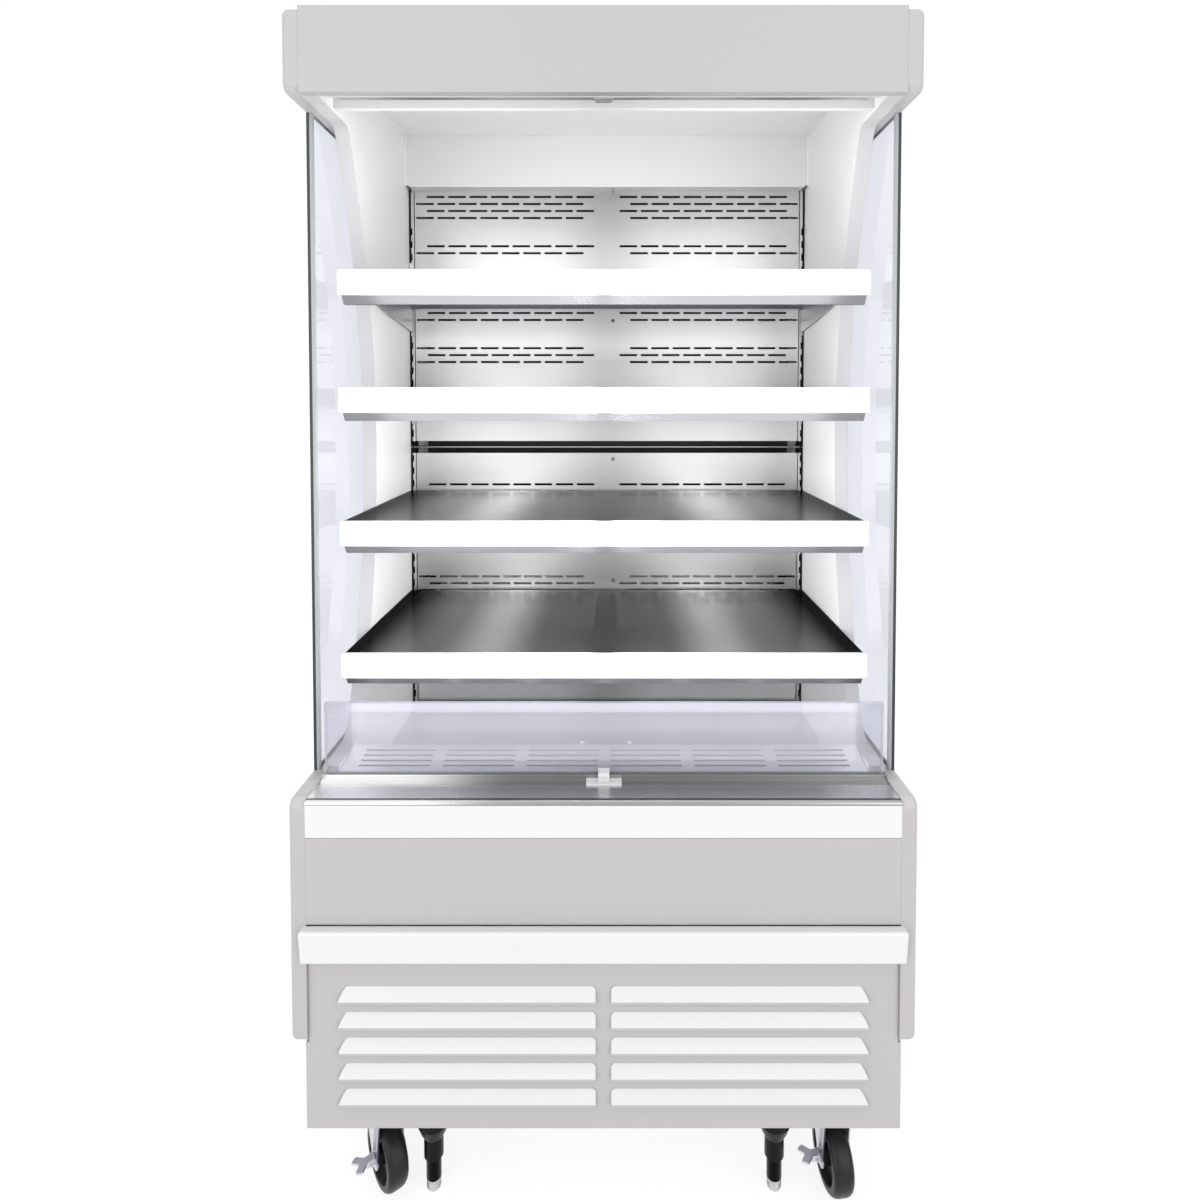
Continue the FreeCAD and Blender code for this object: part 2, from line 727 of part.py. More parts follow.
def shelf_uprights():
    """Two slotted channels at the rear corners and the rail that crosses between them."""
    front = DUCT_FRONT - UPRIGHT_PROUD
    x0 = WALL_IN - UPRIGHT_W
    hole_x = (x0 + WALL_IN) / 2
    holes = [upright_rect(hole_x - HOLE_W / 2, hole_x + HOLE_W / 2, hole_z(i) - HOLE_H / 2,
                          hole_z(i) + HOLE_H / 2, front) for i in range(-HOLES_BELOW, HOLES_ABOVE)]
    low = TUB_FLOOR + TUB_CORNER
    face = punched(upright_rect(x0, WALL_IN, low, TOP_COVER_BOTTOM, front), holes, V(0, UPRIGHT_T, 0))
    inner = block(x0, x0 + UPRIGHT_T, front, front + UPRIGHT_DEPTH, low, TOP_COVER_BOTTOM)
    outer = block(WALL_IN - UPRIGHT_T, WALL_IN, front, front + UPRIGHT_DEPTH, low, TOP_COVER_BOTTOM)
    channel = joined(face, inner, outer)
    rail_z = (PANEL_SPLIT_LOW + PANEL_SPLIT_HIGH - CROSS_RAIL_H) / 2
    rail = block(-x0, x0, DUCT_FRONT, DUCT_FRONT + CROSS_RAIL_T, rail_z, rail_z + CROSS_RAIL_H)
    return Part.makeCompound([channel, mirrored(channel), rail])


# ---- Shelves -----------------------------------------------------------------

def shelf_tray(top):
    """Folded steel shelf: flat top, turned-down sides and rear, front lip with a slanted nose."""
    plate = block(-SHELF_HALF, SHELF_HALF, SHELF_FRONT, SHELF_REAR, top - SHELF_SHEET, top)
    side = block(SHELF_HALF - SHELF_SHEET, SHELF_HALF, SHELF_FRONT, SHELF_REAR, top - SHELF_FLANGE, top)
    rear = block(-SHELF_HALF, SHELF_HALF, SHELF_REAR - SHELF_SHEET, SHELF_REAR, top - SHELF_FLANGE / 2, top)
    low = top - SHELF_NOSE
    nose = SHELF_FRONT + SHELF_NOSE_SLANT
    lip = sheet_x([(SHELF_FRONT, top), (SHELF_FRONT, top - RAIL_H), (nose, low),
                   (nose + SHELF_FLANGE / 3, low)], SHELF_SHEET, -SHELF_HALF, SHELF_HALF)
    return joined(plate, side, mirrored(side), rear, lip)


def shelf_rails():
    """White price rails on the front lips of the shelves."""
    rails = []
    for step in SHELF_STEPS:
        top = shelf_top(step)
        front = SHELF_FRONT - RAIL_T
        path = [(SHELF_FRONT, top - RAIL_H), (front + RAIL_BEVEL, top - RAIL_H),
                (front, top - RAIL_H + RAIL_BEVEL), (front, top - RAIL_BEVEL),
                (front + RAIL_BEVEL, top), (SHELF_FRONT, top)]
        rails.append(sheet_x(path, -RAIL_SHEET, -RAIL_HALF, RAIL_HALF))
    return Part.makeCompound(rails)


def shelf_brackets():
    """Tapered cantilever plates under the shelves, hooked into the uprights."""
    front = DUCT_FRONT - UPRIGHT_PROUD
    x0 = WALL_IN - UPRIGHT_W / 2 - BRACKET_T / 2
    plates = []
    for step in SHELF_STEPS:
        top = shelf_top(step) - SHELF_SHEET
        reach = SHELF_REAR - BRACKET_REACH
        rear = SHELF_REAR - SHELF_SHEET
        low = top - BRACKET_FRONT_H
        outline = [(front, top - SHELF_FLANGE / 2), (rear, top - SHELF_FLANGE / 2),
                   (rear - BRACKET_T, top), (reach, top), (reach, top - BRACKET_FRONT_H / 2),
                   (reach + BRACKET_FRONT_H / 2, low), (front, top - BRACKET_REAR_H)]
        plate = section(outline, x0, x0 + BRACKET_T)
        hooks = []
        for index in (step - 1, step - 2):
            middle = hole_z(index)
            hooks.append(block(x0, x0 + BRACKET_T, front - BRACKET_T, front + HOOK_L,
                               middle - HOOK_H / 2, middle + HOOK_H / 2))
        plate = joined(plate, *hooks)
        plates += [plate, mirrored(plate)]
    return Part.makeCompound(plates)


# ---- Deck and return-air grille -------------------------------------------------

def deck_tray():
    """Bottom deck on folded legs, with the upstand that the return grille rests on."""
    rear = SHELF_REAR
    path = [(DECK_FRONT, DECK_UPSTAND_TOP), (DECK_FRONT, DECK_Z), (rear, DECK_Z),
            (rear, DECK_Z + SHELF_NOSE / 3)]
    tray = sheet_x(path, -SHELF_SHEET, -SHELF_HALF, SHELF_HALF)
    leg = block(SHELF_HALF - SHELF_SHEET, SHELF_HALF, DECK_FRONT, rear, TUB_FLOOR, DECK_Z)
    return joined(tray, leg, mirrored(leg))


def return_grille():
    """Sloping slotted sheet between the riser glass and the deck."""
    holes = []
    pitch = 2 * (SHELF_HALF - GRILLE_MARGIN) / GRILLE_COLUMNS
    reach = (pitch - GRILLE_BRIDGE) / 2
    margin = (GRILLE_LENGTH - (GRILLE_ROWS - 1) * GRILLE_ROW_PITCH) / 2
    for row in range(GRILLE_ROWS):
        y = margin + row * GRILLE_ROW_PITCH
        for column in range(GRILLE_COLUMNS):
            x = (column - (GRILLE_COLUMNS - 1) / 2) * pitch
            low, high = y - GRILLE_SLOT_W / 2, y + GRILLE_SLOT_W / 2
            holes.append([V(x - reach, low, 0), V(x + reach, low, 0), V(x + reach, high, 0),
                          V(x - reach, high, 0)])
    half = SHELF_HALF
    outline = [V(-half, 0, 0), V(half, 0, 0), V(half, GRILLE_LENGTH, 0), V(-half, GRILLE_LENGTH, 0)]
    plate = punched(outline, holes, V(0, 0, SHELF_SHEET))
    hem = Part.makeBox(2 * half, SHELF_SHEET, CHANNEL_H, V(-half, 0, SHELF_SHEET - CHANNEL_H))
    grille = joined(plate, hem)
    grille.rotate(V(0, 0, 0), V(1, 0, 0), GRILLE_SLOPE)
    run = GRILLE_LENGTH * math.cos(math.radians(GRILLE_SLOPE))
    rise = GRILLE_LENGTH * math.sin(math.radians(GRILLE_SLOPE))
    grille.translate(V(0, y_at(DECK_FRONT - run), DECK_UPSTAND_TOP + FIT - rise))
    return grille


# ---- Front of the base ---------------------------------------------------------

def front_ledge():
    """Steel ledge with a rounded nose and the channel that the riser glass stands in."""
    lip = BAND_TOP + SEAM
    half_turn = LEDGE_NOSE * (1 - math.sqrt(0.5))
    inner = LEDGE_NOSE - SHEET
    inner_turn = SHEET + inner * (1 - math.sqrt(0.5))
    slot_near = RISER_DEPTH - FIT
    slot_far = RISER_DEPTH + RISER_T + FIT
    rim = LEDGE_TOP + CHANNEL_H
    floor = LEDGE_TOP + SHEET
    profile = curved_face([
        (0.0, lip), (0.0, LEDGE_TOP - LEDGE_NOSE),
        ((half_turn, LEDGE_TOP - half_turn), (LEDGE_NOSE, LEDGE_TOP)),
        (slot_near - CHANNEL_LIP, LEDGE_TOP), (slot_near - CHANNEL_LIP, rim), (slot_near, rim),
        (slot_near, floor), (slot_far, floor), (slot_far, rim), (slot_far + CHANNEL_LIP, rim),
        (slot_far + CHANNEL_LIP, LEDGE_UNDER), (LEDGE_NOSE, LEDGE_UNDER),
        ((inner_turn, LEDGE_TOP - inner_turn), (SHEET, LEDGE_TOP - LEDGE_NOSE)),
        (SHEET, lip)], -CAP_IN)
    return profile.extrude(V(2 * CAP_IN, 0, 0))


def front_cover(z0, z1):
    """Shallow folded cover on the front of the tub."""
    path = [(TUB_FRONT, z0), (0.0, z0), (0.0, z1), (TUB_FRONT, z1)]
    return sheet_x(path, -SHEET, -CAP_IN, CAP_IN)


def bumper_strip():
    """Hollow white strip across the front; its face leans back towards the bottom, its ends are closed."""
    whole = section([(0.0, BUMPER_BOTTOM), (-BUMPER_FOOT, BUMPER_BOTTOM), (-BUMPER_PROUD, BUMPER_TOP),
                     (0.0, BUMPER_TOP)], -BUMPER_HALF, BUMPER_HALF)
    ends = edges_on(whole, x=-BUMPER_HALF, z=BUMPER_TOP) + edges_on(whole, x=BUMPER_HALF, z=BUMPER_TOP)
    whole = whole.makeFillet(BUMPER_END_ROUND, ends)
    nose = [e for e in whole.Edges if e.BoundBox.YMax < y_at(-BUMPER_PROUD) + BUMPER_WALL]
    whole = whole.makeFillet(BUMPER_ROUND, nose)
    inner = BUMPER_HALF - BUMPER_WALL
    low, high = BUMPER_BOTTOM + BUMPER_WALL, BUMPER_TOP - BUMPER_WALL
    hollow = section([(0.0, low), (BUMPER_WALL - BUMPER_FOOT, low), (BUMPER_WALL - BUMPER_PROUD, high),
                      (0.0, high)], -inner, inner)
    return whole.cut(hollow)


def riser_glass():
    """Low front glass with a thick polished rim."""
    z0 = LEDGE_TOP + SHEET + FIT
    pane = block(-RISER_HALF, RISER_HALF, RISER_DEPTH, RISER_DEPTH + RISER_T, z0, RISER_TOP)
    extra = (RISER_RIM_T - RISER_T) / 2
    rim = block(-RISER_HALF, RISER_HALF, RISER_DEPTH - extra, RISER_DEPTH + RISER_T + extra,
                RISER_TOP - RISER_RIM_H, RISER_TOP)
    return joined(pane, rim)


def curtain_catch():
    """Small white catch on the ledge for the bar of the night curtain."""
    z0 = LEDGE_TOP
    rear = RISER_DEPTH - FIT - CHANNEL_LIP
    base = block(-CATCH_BASE_W / 2, CATCH_BASE_W / 2, CATCH_DEPTH - CATCH_T / 2, rear, z0, z0 + CATCH_BASE_H)
    stem_top = z0 + CATCH_H
    front = CATCH_DEPTH - CATCH_T / 2
    stem = section([(rear, z0), (rear, stem_top), (front, stem_top), (front, stem_top - CATCH_BASE_H * 2),
                    (CATCH_DEPTH, stem_top - CATCH_BASE_H * 2), (CATCH_DEPTH, z0)], -CATCH_W / 2, CATCH_W / 2)
    return joined(base, stem)


def louvre(x0, x1, z_top):
    """Pressed hood of one louvre, its outer end rounded off, open below; with its inside space."""
    z0 = z_top - LOUVRE_H
    front = LOUVRE_SETBACK - LOUVRE_PROUD
    y = y_at(front)

    def wedge(inset, rear):
        """Wedge-shaped prism, shrunk by the sheet thickness for the inside."""
        prism = section([(rear, z_top - inset), (rear, z0 - inset), (front + inset, z0 - inset),
                         (front + inset, z0 + LOUVRE_PROUD / 2)], x0, x1)
        near, far = x0 + inset, x1 - inset
        lean = far - (LOUVRE_SLANT - LOUVRE_BULGE) / 2
        points = [V(far - LOUVRE_SLANT, y, z_top), V(near + LOUVRE_CORNER, y, z_top),
                  V(near, y, z_top - LOUVRE_CORNER), V(near, y, z0 - LOUVRE_H),
                  V(far, y, z0 - LOUVRE_H), V(far, y, z0)]
        edges = [Part.makeLine(a, b) for a, b in zip(points, points[1:])]
        edges.append(Part.Arc(points[-1], V(lean, y, (z0 + z_top) / 2), points[0]).toShape())
        return prism.common(Part.Face(Part.Wire(edges)).extrude(V(0, rear - front, 0)))

    return wedge(0.0, LOUVRE_SETBACK), wedge(LOUVRE_SHEET, LOUVRE_SETBACK + SHEET)


def louvre_panel():
    """Front grille sheet of the machine space with two columns of pressed louvres."""
    wide, narrow = CHASSIS_HALF, CAP_IN - FIT
    step_z = BASE_CAP_BOTTOM - FIT
    top = BUMPER_BOTTOM - FIT
    outline = [(wide, UNDERSIDE), (wide, step_z), (narrow, step_z), (narrow, top)]
    outline += [(-x, z) for x, z in outline[::-1]]
    y = y_at(LOUVRE_SETBACK)
    panel = face_of([V(x, y, z) for x, z in outline]).extrude(V(0, SHEET, 0))
    hoods = []
    spaces = []
    for row in range(LOUVRE_ROWS):
        hood, space = louvre(LOUVRE_INNER, LOUVRE_OUTER, LOUVRE_TOP - row * LOUVRE_PITCH)
        hoods += [hood, mirrored(hood)]
        spaces += [space, mirrored(space)]
    return joined(panel, *hoods).cut(spaces)


# ---- Chassis and machine space ---------------------------------------------------

def base_frame():
    """Folded chassis: floor pan, skirts stepped in behind the base caps, three cross beams."""
    step_z = BASE_CAP_BOTTOM - FIT
    path = [(-CAP_IN, TUB_BOTTOM), (-CAP_IN, step_z), (-CHASSIS_HALF, step_z), (-CHASSIS_HALF, UNDERSIDE),
            (CHASSIS_HALF, UNDERSIDE), (CHASSIS_HALF, step_z), (CAP_IN, step_z), (CAP_IN, TUB_BOTTOM)]
    outline = [V(x, y_at(CHASSIS_FRONT), z) for x, z in folded(path, SHEET)]
    trough = face_of(outline).extrude(V(0, REAR - CHASSIS_REAR_GAP - CHASSIS_FRONT, 0))
    beams = []
    low = TUB_BOTTOM - BEAM_H
    last = REAR - BEAM_REAR_INSET
    for depth in (0.0, last / 2, last):
        beams.append(sheet_x([(depth + BEAM_W, low), (depth, low), (depth, TUB_BOTTOM),
                              (depth + BEAM_W, TUB_BOTTOM)], -SHEET, -CAP_IN, CAP_IN))
    return joined(trough, *beams)


def rear_grille():
    """Vented sheet that closes the machine space at the back, with the cord gland's hole."""
    half = CAP_IN - SHEET
    z0 = UNDERSIDE + SHEET
    z1 = TUB_BOTTOM - BEAM_H
    depth = REAR_GRILLE_DEPTH
    holes = []
    gap = (z1 - z0 - 2 * REAR_SLOT_H) / 3
    count = int(2 * (CAP_IN - REAR_SLOT_MARGIN) / REAR_SLOT_PITCH)
    for row in range(2):
        low = z0 + gap + row * (REAR_SLOT_H + gap)
        for column in range(count):
            x = (column - (count - 1) / 2) * REAR_SLOT_PITCH
            x0, x1 = x - REAR_SLOT_W / 2, x + REAR_SLOT_W / 2
            holes.append(upright_rect(x0, x1, low, low + REAR_SLOT_H, depth))
    sheet = punched(upright_rect(-half, half, z0, z1, depth), holes, V(0, SHEET, 0))
    hole = Part.makeCylinder(GLAND_R + GLAND_GAP, SHEET, V(GLAND_X, y_at(depth), GLAND_Z), V(0, 1, 0))
    return sheet.cut(hole)


def return_bends(x, depth, z0, z1):
    """Copper U-bends at the right-hand end of a coil, one above the other."""
    bends = []
    pitch = (z1 - z0) / BENDS
    for i in range(BENDS):
        middle = z0 + (i + 0.5) * pitch
        bend = Part.makeTorus(pitch / 4, BEND_R, V(x, y_at(depth), middle), V(0, 1, 0), 0, 360)
        bends.append(bend.common(block(x, x + pitch, depth - 2 * BEND_R, depth + 2 * BEND_R,
                                       middle - pitch / 2, middle + pitch / 2)))
    return bends


def condenser_coil():
    """Finned condenser core between end plates, behind the louvres."""
    z0 = PAN_FLOOR + COIL_LIFT
    x0, x1 = COIL_X0 + SHEET, COIL_X1 - SHEET
    core = block(x0, x1, COIL_DEPTH, COIL_DEPTH + COIL_T, z0, COIL_TOP - COIL_LIFT)
    left = block(COIL_X0, x0, COIL_DEPTH, COIL_DEPTH + COIL_T, PAN_FLOOR, COIL_TOP)
    right = block(x1, COIL_X1, COIL_DEPTH, COIL_DEPTH + COIL_T, PAN_FLOOR, COIL_TOP)
    bends = return_bends(COIL_X1, COIL_DEPTH + COIL_T / 2, z0, COIL_TOP - COIL_LIFT)
    return joined(core, left, right, *bends)


def about_axis(shape, index, count):
    """The piece turned to its place in a ring of count pieces about Z."""
    shape.rotate(V(0, 0, 0), V(0, 0, 1), 90 + 360.0 * index / count)
    return shape


def axial_fan(radius):
    """Fan about Z: domed hub, twisted blades, shaft below the hub."""
    hub_r, hub_h = radius * HUB_SHARE, radius * HUB_DEPTH_SHARE
    hub = revolved([(0, 0), (hub_r, 0), (hub_r, hub_h - HUB_DOME), (hub_r - HUB_DOME, hub_h), (0, hub_h)])
    solids = [Part.makeCylinder(SHAFT_R, SHAFT_L, V(0, 0, -SHAFT_L))]
    root = hub_r - BLADE_ROOT
    for i in range(BLADES):
        stations = []
        for share in (0.0, 0.5, 1.0):
            chord = hub_r * (0.62 + 0.55 * share)
            twist = math.radians(BLADE_PITCH * (1.25 - 0.5 * share))
            sweep = chord * 0.35 * share
            along = V(0, math.cos(twist), math.sin(twist))
            across = V(0, -math.sin(twist), math.cos(twist)) * BLADE_T
            middle = V(root + (radius - root) * share, sweep, hub_h / 2)
            nose = middle - along * (chord / 2) - across * 0.5
            tail = nose + along * chord
            stations.append(Part.makePolygon([nose, tail, tail + across, nose + across, nose]))
        solids.append(about_axis(Part.makeLoft(stations, True, True), i, BLADES))
    fan = joined(hub, *solids)
    fan.translate(V(0, 0, -hub_h - FAN_BACK_GAP))
    return fan


def fan_stator(radius, motor_r, motor_l):
    """Ring of a fan about Z, hanging below z 0, with the motor on three arms."""
    ring_r = radius + FAN_TIP_GAP
    ring_h = radius * HUB_DEPTH_SHARE + RING_EXTRA
    ring = tube(ring_r, SHEET, -ring_h, 0)
    top = -ring_h - MOTOR_GAP
    low = top - motor_l
    motor = revolved([(0, low), (motor_r - MOTOR_EDGE, low), (motor_r, low + MOTOR_EDGE),
                      (motor_r, top - MOTOR_EDGE), (motor_r - MOTOR_EDGE, top), (0, top)])
    bore = Part.makeCylinder(SHAFT_R + BORE_GAP, SHAFT_L, V(0, 0, top - SHAFT_L))
    holders = []
    for i in range(ARMS):
        arm = Part.makeBox(ring_r + SHEET - motor_r + MOTOR_EDGE, ARM_W, ARM_T,
                           V(motor_r - MOTOR_EDGE, -ARM_W / 2, top - ARM_DROP))
        post = Part.makeBox(2 * SHEET, ARM_W, ARM_DROP - top, V(ring_r, -ARM_W / 2, top - ARM_DROP))
        holders += [about_axis(arm, i, ARMS), about_axis(post, i, ARMS)]
    return joined(ring, motor, *holders).cut(bore)


def condenser_air():
    """Shroud sheet with ring and motor, and the condenser fan; its axis runs front to back."""
    stator, fan = fan_stator(FAN_R, MOTOR_R, MOTOR_L), axial_fan(FAN_R)
    depth = COIL_DEPTH + COIL_T + SHROUD_GAP
    x = (COIL_X0 + COIL_X1) / 2
    z = (PAN_FLOOR + COIL_TOP) / 2
    ring_r = FAN_R + FAN_TIP_GAP
    sheet = block(COIL_X0, COIL_X1, depth, depth + SHEET, PAN_FLOOR, COIL_TOP)
    sheet = sheet.cut(Part.makeCylinder(ring_r, SHEET, V(x, y_at(depth), z), V(0, 1, 0)))
    top = block(COIL_X0, COIL_X1, COIL_DEPTH + COIL_T, depth + SHEET, COIL_TOP - SHEET, COIL_TOP)
    for shape in (stator, fan):
        shape.rotate(V(0, 0, 0), V(1, 0, 0), 90)
        shape.translate(V(x, y_at(depth), z))
    return joined(sheet, top, stator), fan


def evaporator_air():
    """Level plate in the rear duct with two rings and motors, and its two fans."""
    z = EVAP_PLATE_Z
    front = DUCT_FRONT + SHEET
    half = PANEL_HALF - 2 * SHEET
    middle = (front + BACK_FRONT) / 2
    ring_r = EVAP_FAN_R + FAN_TIP_GAP
    plate = block(-half, half, front, BACK_FRONT, z - SHEET, z)
    stators = []
    fans = []
    for side in (-1, 1):
        x = side * EVAP_FAN_X
        plate = plate.cut(Part.makeCylinder(ring_r, SHEET, V(x, y_at(middle), z - SHEET)))
        stator, fan = fan_stator(EVAP_FAN_R, EVAP_MOTOR_R, EVAP_MOTOR_L), axial_fan(EVAP_FAN_R)
        stator.translate(V(x, y_at(middle), z))
        fan.translate(V(x, y_at(middle), z))
        stators.append(stator)
        fans.append(fan)
    return joined(plate, *stators), fans


def evaporator_coil():
    """Finned evaporator core that stands on the fan plate by its end plates."""
    middle = (DUCT_FRONT + SHEET + BACK_FRONT) / 2
    d0, d1 = DUCT_FRONT + SHEET + EVAP_SIDE_GAP, BACK_FRONT - EVAP_SIDE_GAP
    z1 = EVAP_CORE_Z + EVAP_CORE_H
    core = block(-EVAP_CORE_HALF, EVAP_CORE_HALF, d0, d1, EVAP_CORE_Z, z1)
    end = block(EVAP_CORE_HALF, EVAP_CORE_HALF + SHEET, d0, d1, EVAP_PLATE_Z, z1)
    bends = return_bends(EVAP_CORE_HALF + SHEET, middle, EVAP_CORE_Z, z1)
    return joined(core, end, mirrored(end), *bends)


def compressor():
    """Domed hermetic compressor on its mounting plate and four rubber grommets."""
    plate_z = PAN_FLOOR + GROMMET_H
    low = plate_z + MOUNT_PLATE
    r = COMPRESSOR_R
    top = low + COMPRESSOR_H
    seam = low + COMPRESSOR_H * 0.49
    bead = COMPRESSOR_H * 0.02
    pot = revolved([
        (0, low), (0.8 * r, low), (0.95 * r, low + 0.36 * FOOT_TURN), (r, low + FOOT_TURN),
        (r, seam - 2 * bead), (r + SEAM_PROUD, seam - bead), (r + SEAM_PROUD, seam + bead),
        (r, seam + 2 * bead), (r, top - DOME_H), (0.93 * r, top - 0.54 * DOME_H),
        (0.71 * r, top - 0.17 * DOME_H), (0.42 * r, top - 0.02 * DOME_H), (0, top)])
    span = r + GROMMET_R
    narrow = span - MOUNT_TRIM
    solids = [Part.makeBox(2 * span, 2 * narrow, MOUNT_PLATE, V(-span, -narrow, plate_z))]
    for sx in (-1, 1):
        for sy in (-1, 1):
            at = V(sx * (span - GROMMET_R), sy * (narrow - GROMMET_R), PAN_FLOOR)
            solids.append(Part.makeCylinder(GROMMET_R, GROMMET_H, at))
    stub = Part.makeCylinder(STUB_R, STUB_L, V(0, -0.85 * r, top - 0.42 * DOME_H), V(0, -0.6, 0.8))
    whole = joined(pot, stub, *solids)
    whole.translate(V(COMPRESSOR_X, y_at(COMPRESSOR_DEPTH), 0))
    return whole


def drain_pan():
    """Open tray that collects and evaporates melt water."""
    x0, d0 = PAN_X - PAN_L / 2, PAN_DEPTH - PAN_W / 2
    pan = block(x0, x0 + PAN_L, d0, d0 + PAN_W, PAN_FLOOR, PAN_FLOOR + PAN_H)
    uprights = [e for e in pan.Edges if e.BoundBox.ZLength > PAN_H / 2]
    pan = pan.makeFillet(PAN_CORNER, uprights)
    inside = block(x0 + SHEET, x0 + PAN_L - SHEET, d0 + SHEET, d0 + PAN_W - SHEET,
                   PAN_FLOOR + SHEET, PAN_FLOOR + PAN_H)
    uprights = [e for e in inside.Edges if e.BoundBox.ZLength > PAN_H / 2]
    return pan.cut(inside.makeFillet(PAN_CORNER - SHEET, uprights))


def control_box():
    """Controller housing with the cord gland that passes through the rear grille."""
    rear = REAR_GRILLE_DEPTH - FIT
    front = rear - BOX_L
    x0, x1 = GLAND_X - BOX_W / 2, GLAND_X + BOX_W / 2
    low = GLAND_Z - BOX_H / 2
    box = block(x0, x1, front, rear, low, low + BOX_H)
    foot = block(x0, x1, front, front + 2 * SHEET, PAN_FLOOR, low)

    def round_bar(r, start, length):
        """Cylinder along the gland's axis."""
        return Part.makeCylinder(r, length, V(GLAND_X, y_at(start), GLAND_Z), V(0, 1, 0))

    gland = round_bar(GLAND_R, rear, GLAND_END - rear)
    collar = round_bar(GLAND_COLLAR_R, REAR_GRILLE_DEPTH + SHEET + FIT, GLAND_COLLAR_L)
    inlet = round_bar(GLAND_BORE_R, rear + BUMPER_WALL, GLAND_END - rear)
    return joined(box, foot, gland, collar).cut(inlet)


# ---- Night curtain ---------------------------------------------------------------

def along_x(shape, depth, z):
    """Turn a piece made about Z so that it lies along X at the given depth and height."""
    shape.rotate(V(0, 0, 0), V(0, 1, 0), 90)
    shape.translate(V(0, y_at(depth), z))
    return shape


def curtain_cassette():
    """Half-round housing under the roof with an end bracket for each roller pin."""
    outer, inner = CASSETTE_R, CASSETTE_R - CASSETTE_T
    half = ROLL_HALF + PIN_L
    shell = along_x(tube(inner, CASSETTE_T, -half, half), ROLL_DEPTH, ROLL_Z)
    mouth = block(-half, half, ROLL_DEPTH - outer, ROLL_DEPTH + outer, ROLL_Z - outer, ROLL_Z - MOUTH_DROP)
    room = along_x(Part.makeCylinder(inner, 2 * half, V(0, 0, -half)), ROLL_DEPTH, ROLL_Z)
    seat = block(-half, half, ROLL_DEPTH - outer / 2, ROLL_DEPTH + outer / 2, ROLL_Z + inner, CEILING)
    solids = [seat.cut(room)]
    for side in (-1, 1):
        x0 = side * (half - BRACKET_PLATE / 2) - BRACKET_PLATE / 2
        plate = block(x0, x0 + BRACKET_PLATE, ROLL_DEPTH - outer, ROLL_DEPTH + outer,
                      ROLL_Z - PIN_R - BRACKET_PLATE, CEILING)
        solids.append(plate)
    body = joined(shell.cut(mouth), *solids)
    bore = along_x(Part.makeCylinder(PIN_R + BORE_GAP, 2 * half, V(0, 0, -half)), ROLL_DEPTH, ROLL_Z)
    return body.cut(bore)


def curtain_roller():
    """Spring roller with the rolled sheet on it, on two end pins."""
    half = ROLL_HALF + PIN_L
    return along_x(revolved([(0, -half), (PIN_R, -half), (PIN_R, -ROLL_HALF), (ROLL_R, -ROLL_HALF),
                             (ROLL_R, ROLL_HALF), (PIN_R, ROLL_HALF), (PIN_R, half), (0, half)]),
                   ROLL_DEPTH, ROLL_Z)


def curtain_sheet():
    """The short run of sheet between the roller and the bar while the curtain is up."""
    return block(-ROLL_HALF, ROLL_HALF, CURTAIN_DEPTH - FABRIC_T / 2, CURTAIN_DEPTH + FABRIC_T / 2,
                 BAR_TOP + FABRIC_GAP, ROLL_Z)


def curtain_bar():
    """Pull bar in the soffit slot, with a finger tab in the middle."""
    front, rear = CURTAIN_DEPTH - BAR_T / 2, CURTAIN_DEPTH + BAR_T / 2
    bar = block(-BAR_HALF, BAR_HALF, front, rear, BAR_BOTTOM, BAR_TOP)
    low = edges_on(bar, y=y_at(front), z=BAR_BOTTOM) + edges_on(bar, y=y_at(rear), z=BAR_BOTTOM)
    bar = bar.makeFillet(BAR_ROUND, low)
    tab_low = BAR_BOTTOM - TAB_H
    tab = block(-TAB_W / 2, TAB_W / 2, CURTAIN_DEPTH - TAB_T / 2, CURTAIN_DEPTH + TAB_T / 2,
                tab_low, BAR_BOTTOM + TAB_T)
    ends = edges_on(tab, x=-TAB_W / 2, z=tab_low) + edges_on(tab, x=TAB_W / 2, z=tab_low)
    return joined(bar, tab.makeFillet(TAB_ROUND, ends))


# ---- Casters and levelling legs ----------------------------------------------------

def across_x(r, length, x):
    """Cylinder on the wheel's axle line, from x towards +X."""
    return Part.makeCylinder(r, length, V(x, -TRAIL, WHEEL_R), V(1, 0, 0))


def caster_plate():
    """Top plate with its ball race and king pin, about Z through the swivel axis."""
    plate_z = UNDERSIDE - PLATE_T
    plate = Part.makeBox(PLATE_L, PLATE_W, PLATE_T, V(-PLATE_L / 2, -PLATE_W / 2, plate_z))
    plate = plate.makeFillet(PLATE_CORNER, [e for e in plate.Edges if e.BoundBox.ZLength > PLATE_T / 2])
    bolt_x, bolt_y = PLATE_L / 2 - PLATE_BOLT_INSET, PLATE_W / 2 - PLATE_BOLT_INSET
    bolts = [Part.makeCylinder(PLATE_BOLT_R, PLATE_T, V(sx * bolt_x, sy * bolt_y, plate_z))
             for sx in (-1, 1) for sy in (-1, 1)]
    race_z = plate_z - RACE_H
    king_z = race_z - FORK_DISC_H - RACE_CLEAR
    head_r = KING_R + KING_HEAD_PROUD
    king = revolved([(0, king_z - KING_HEAD_T), (head_r, king_z - KING_HEAD_T),
                     (head_r, king_z - RACE_CLEAR), (KING_R, king_z - RACE_CLEAR), (KING_R, race_z),
                     (RACE_R - RACE_BEVEL, race_z), (RACE_R, plate_z), (0, plate_z)])
    return joined(plate.cut(bolts), king)


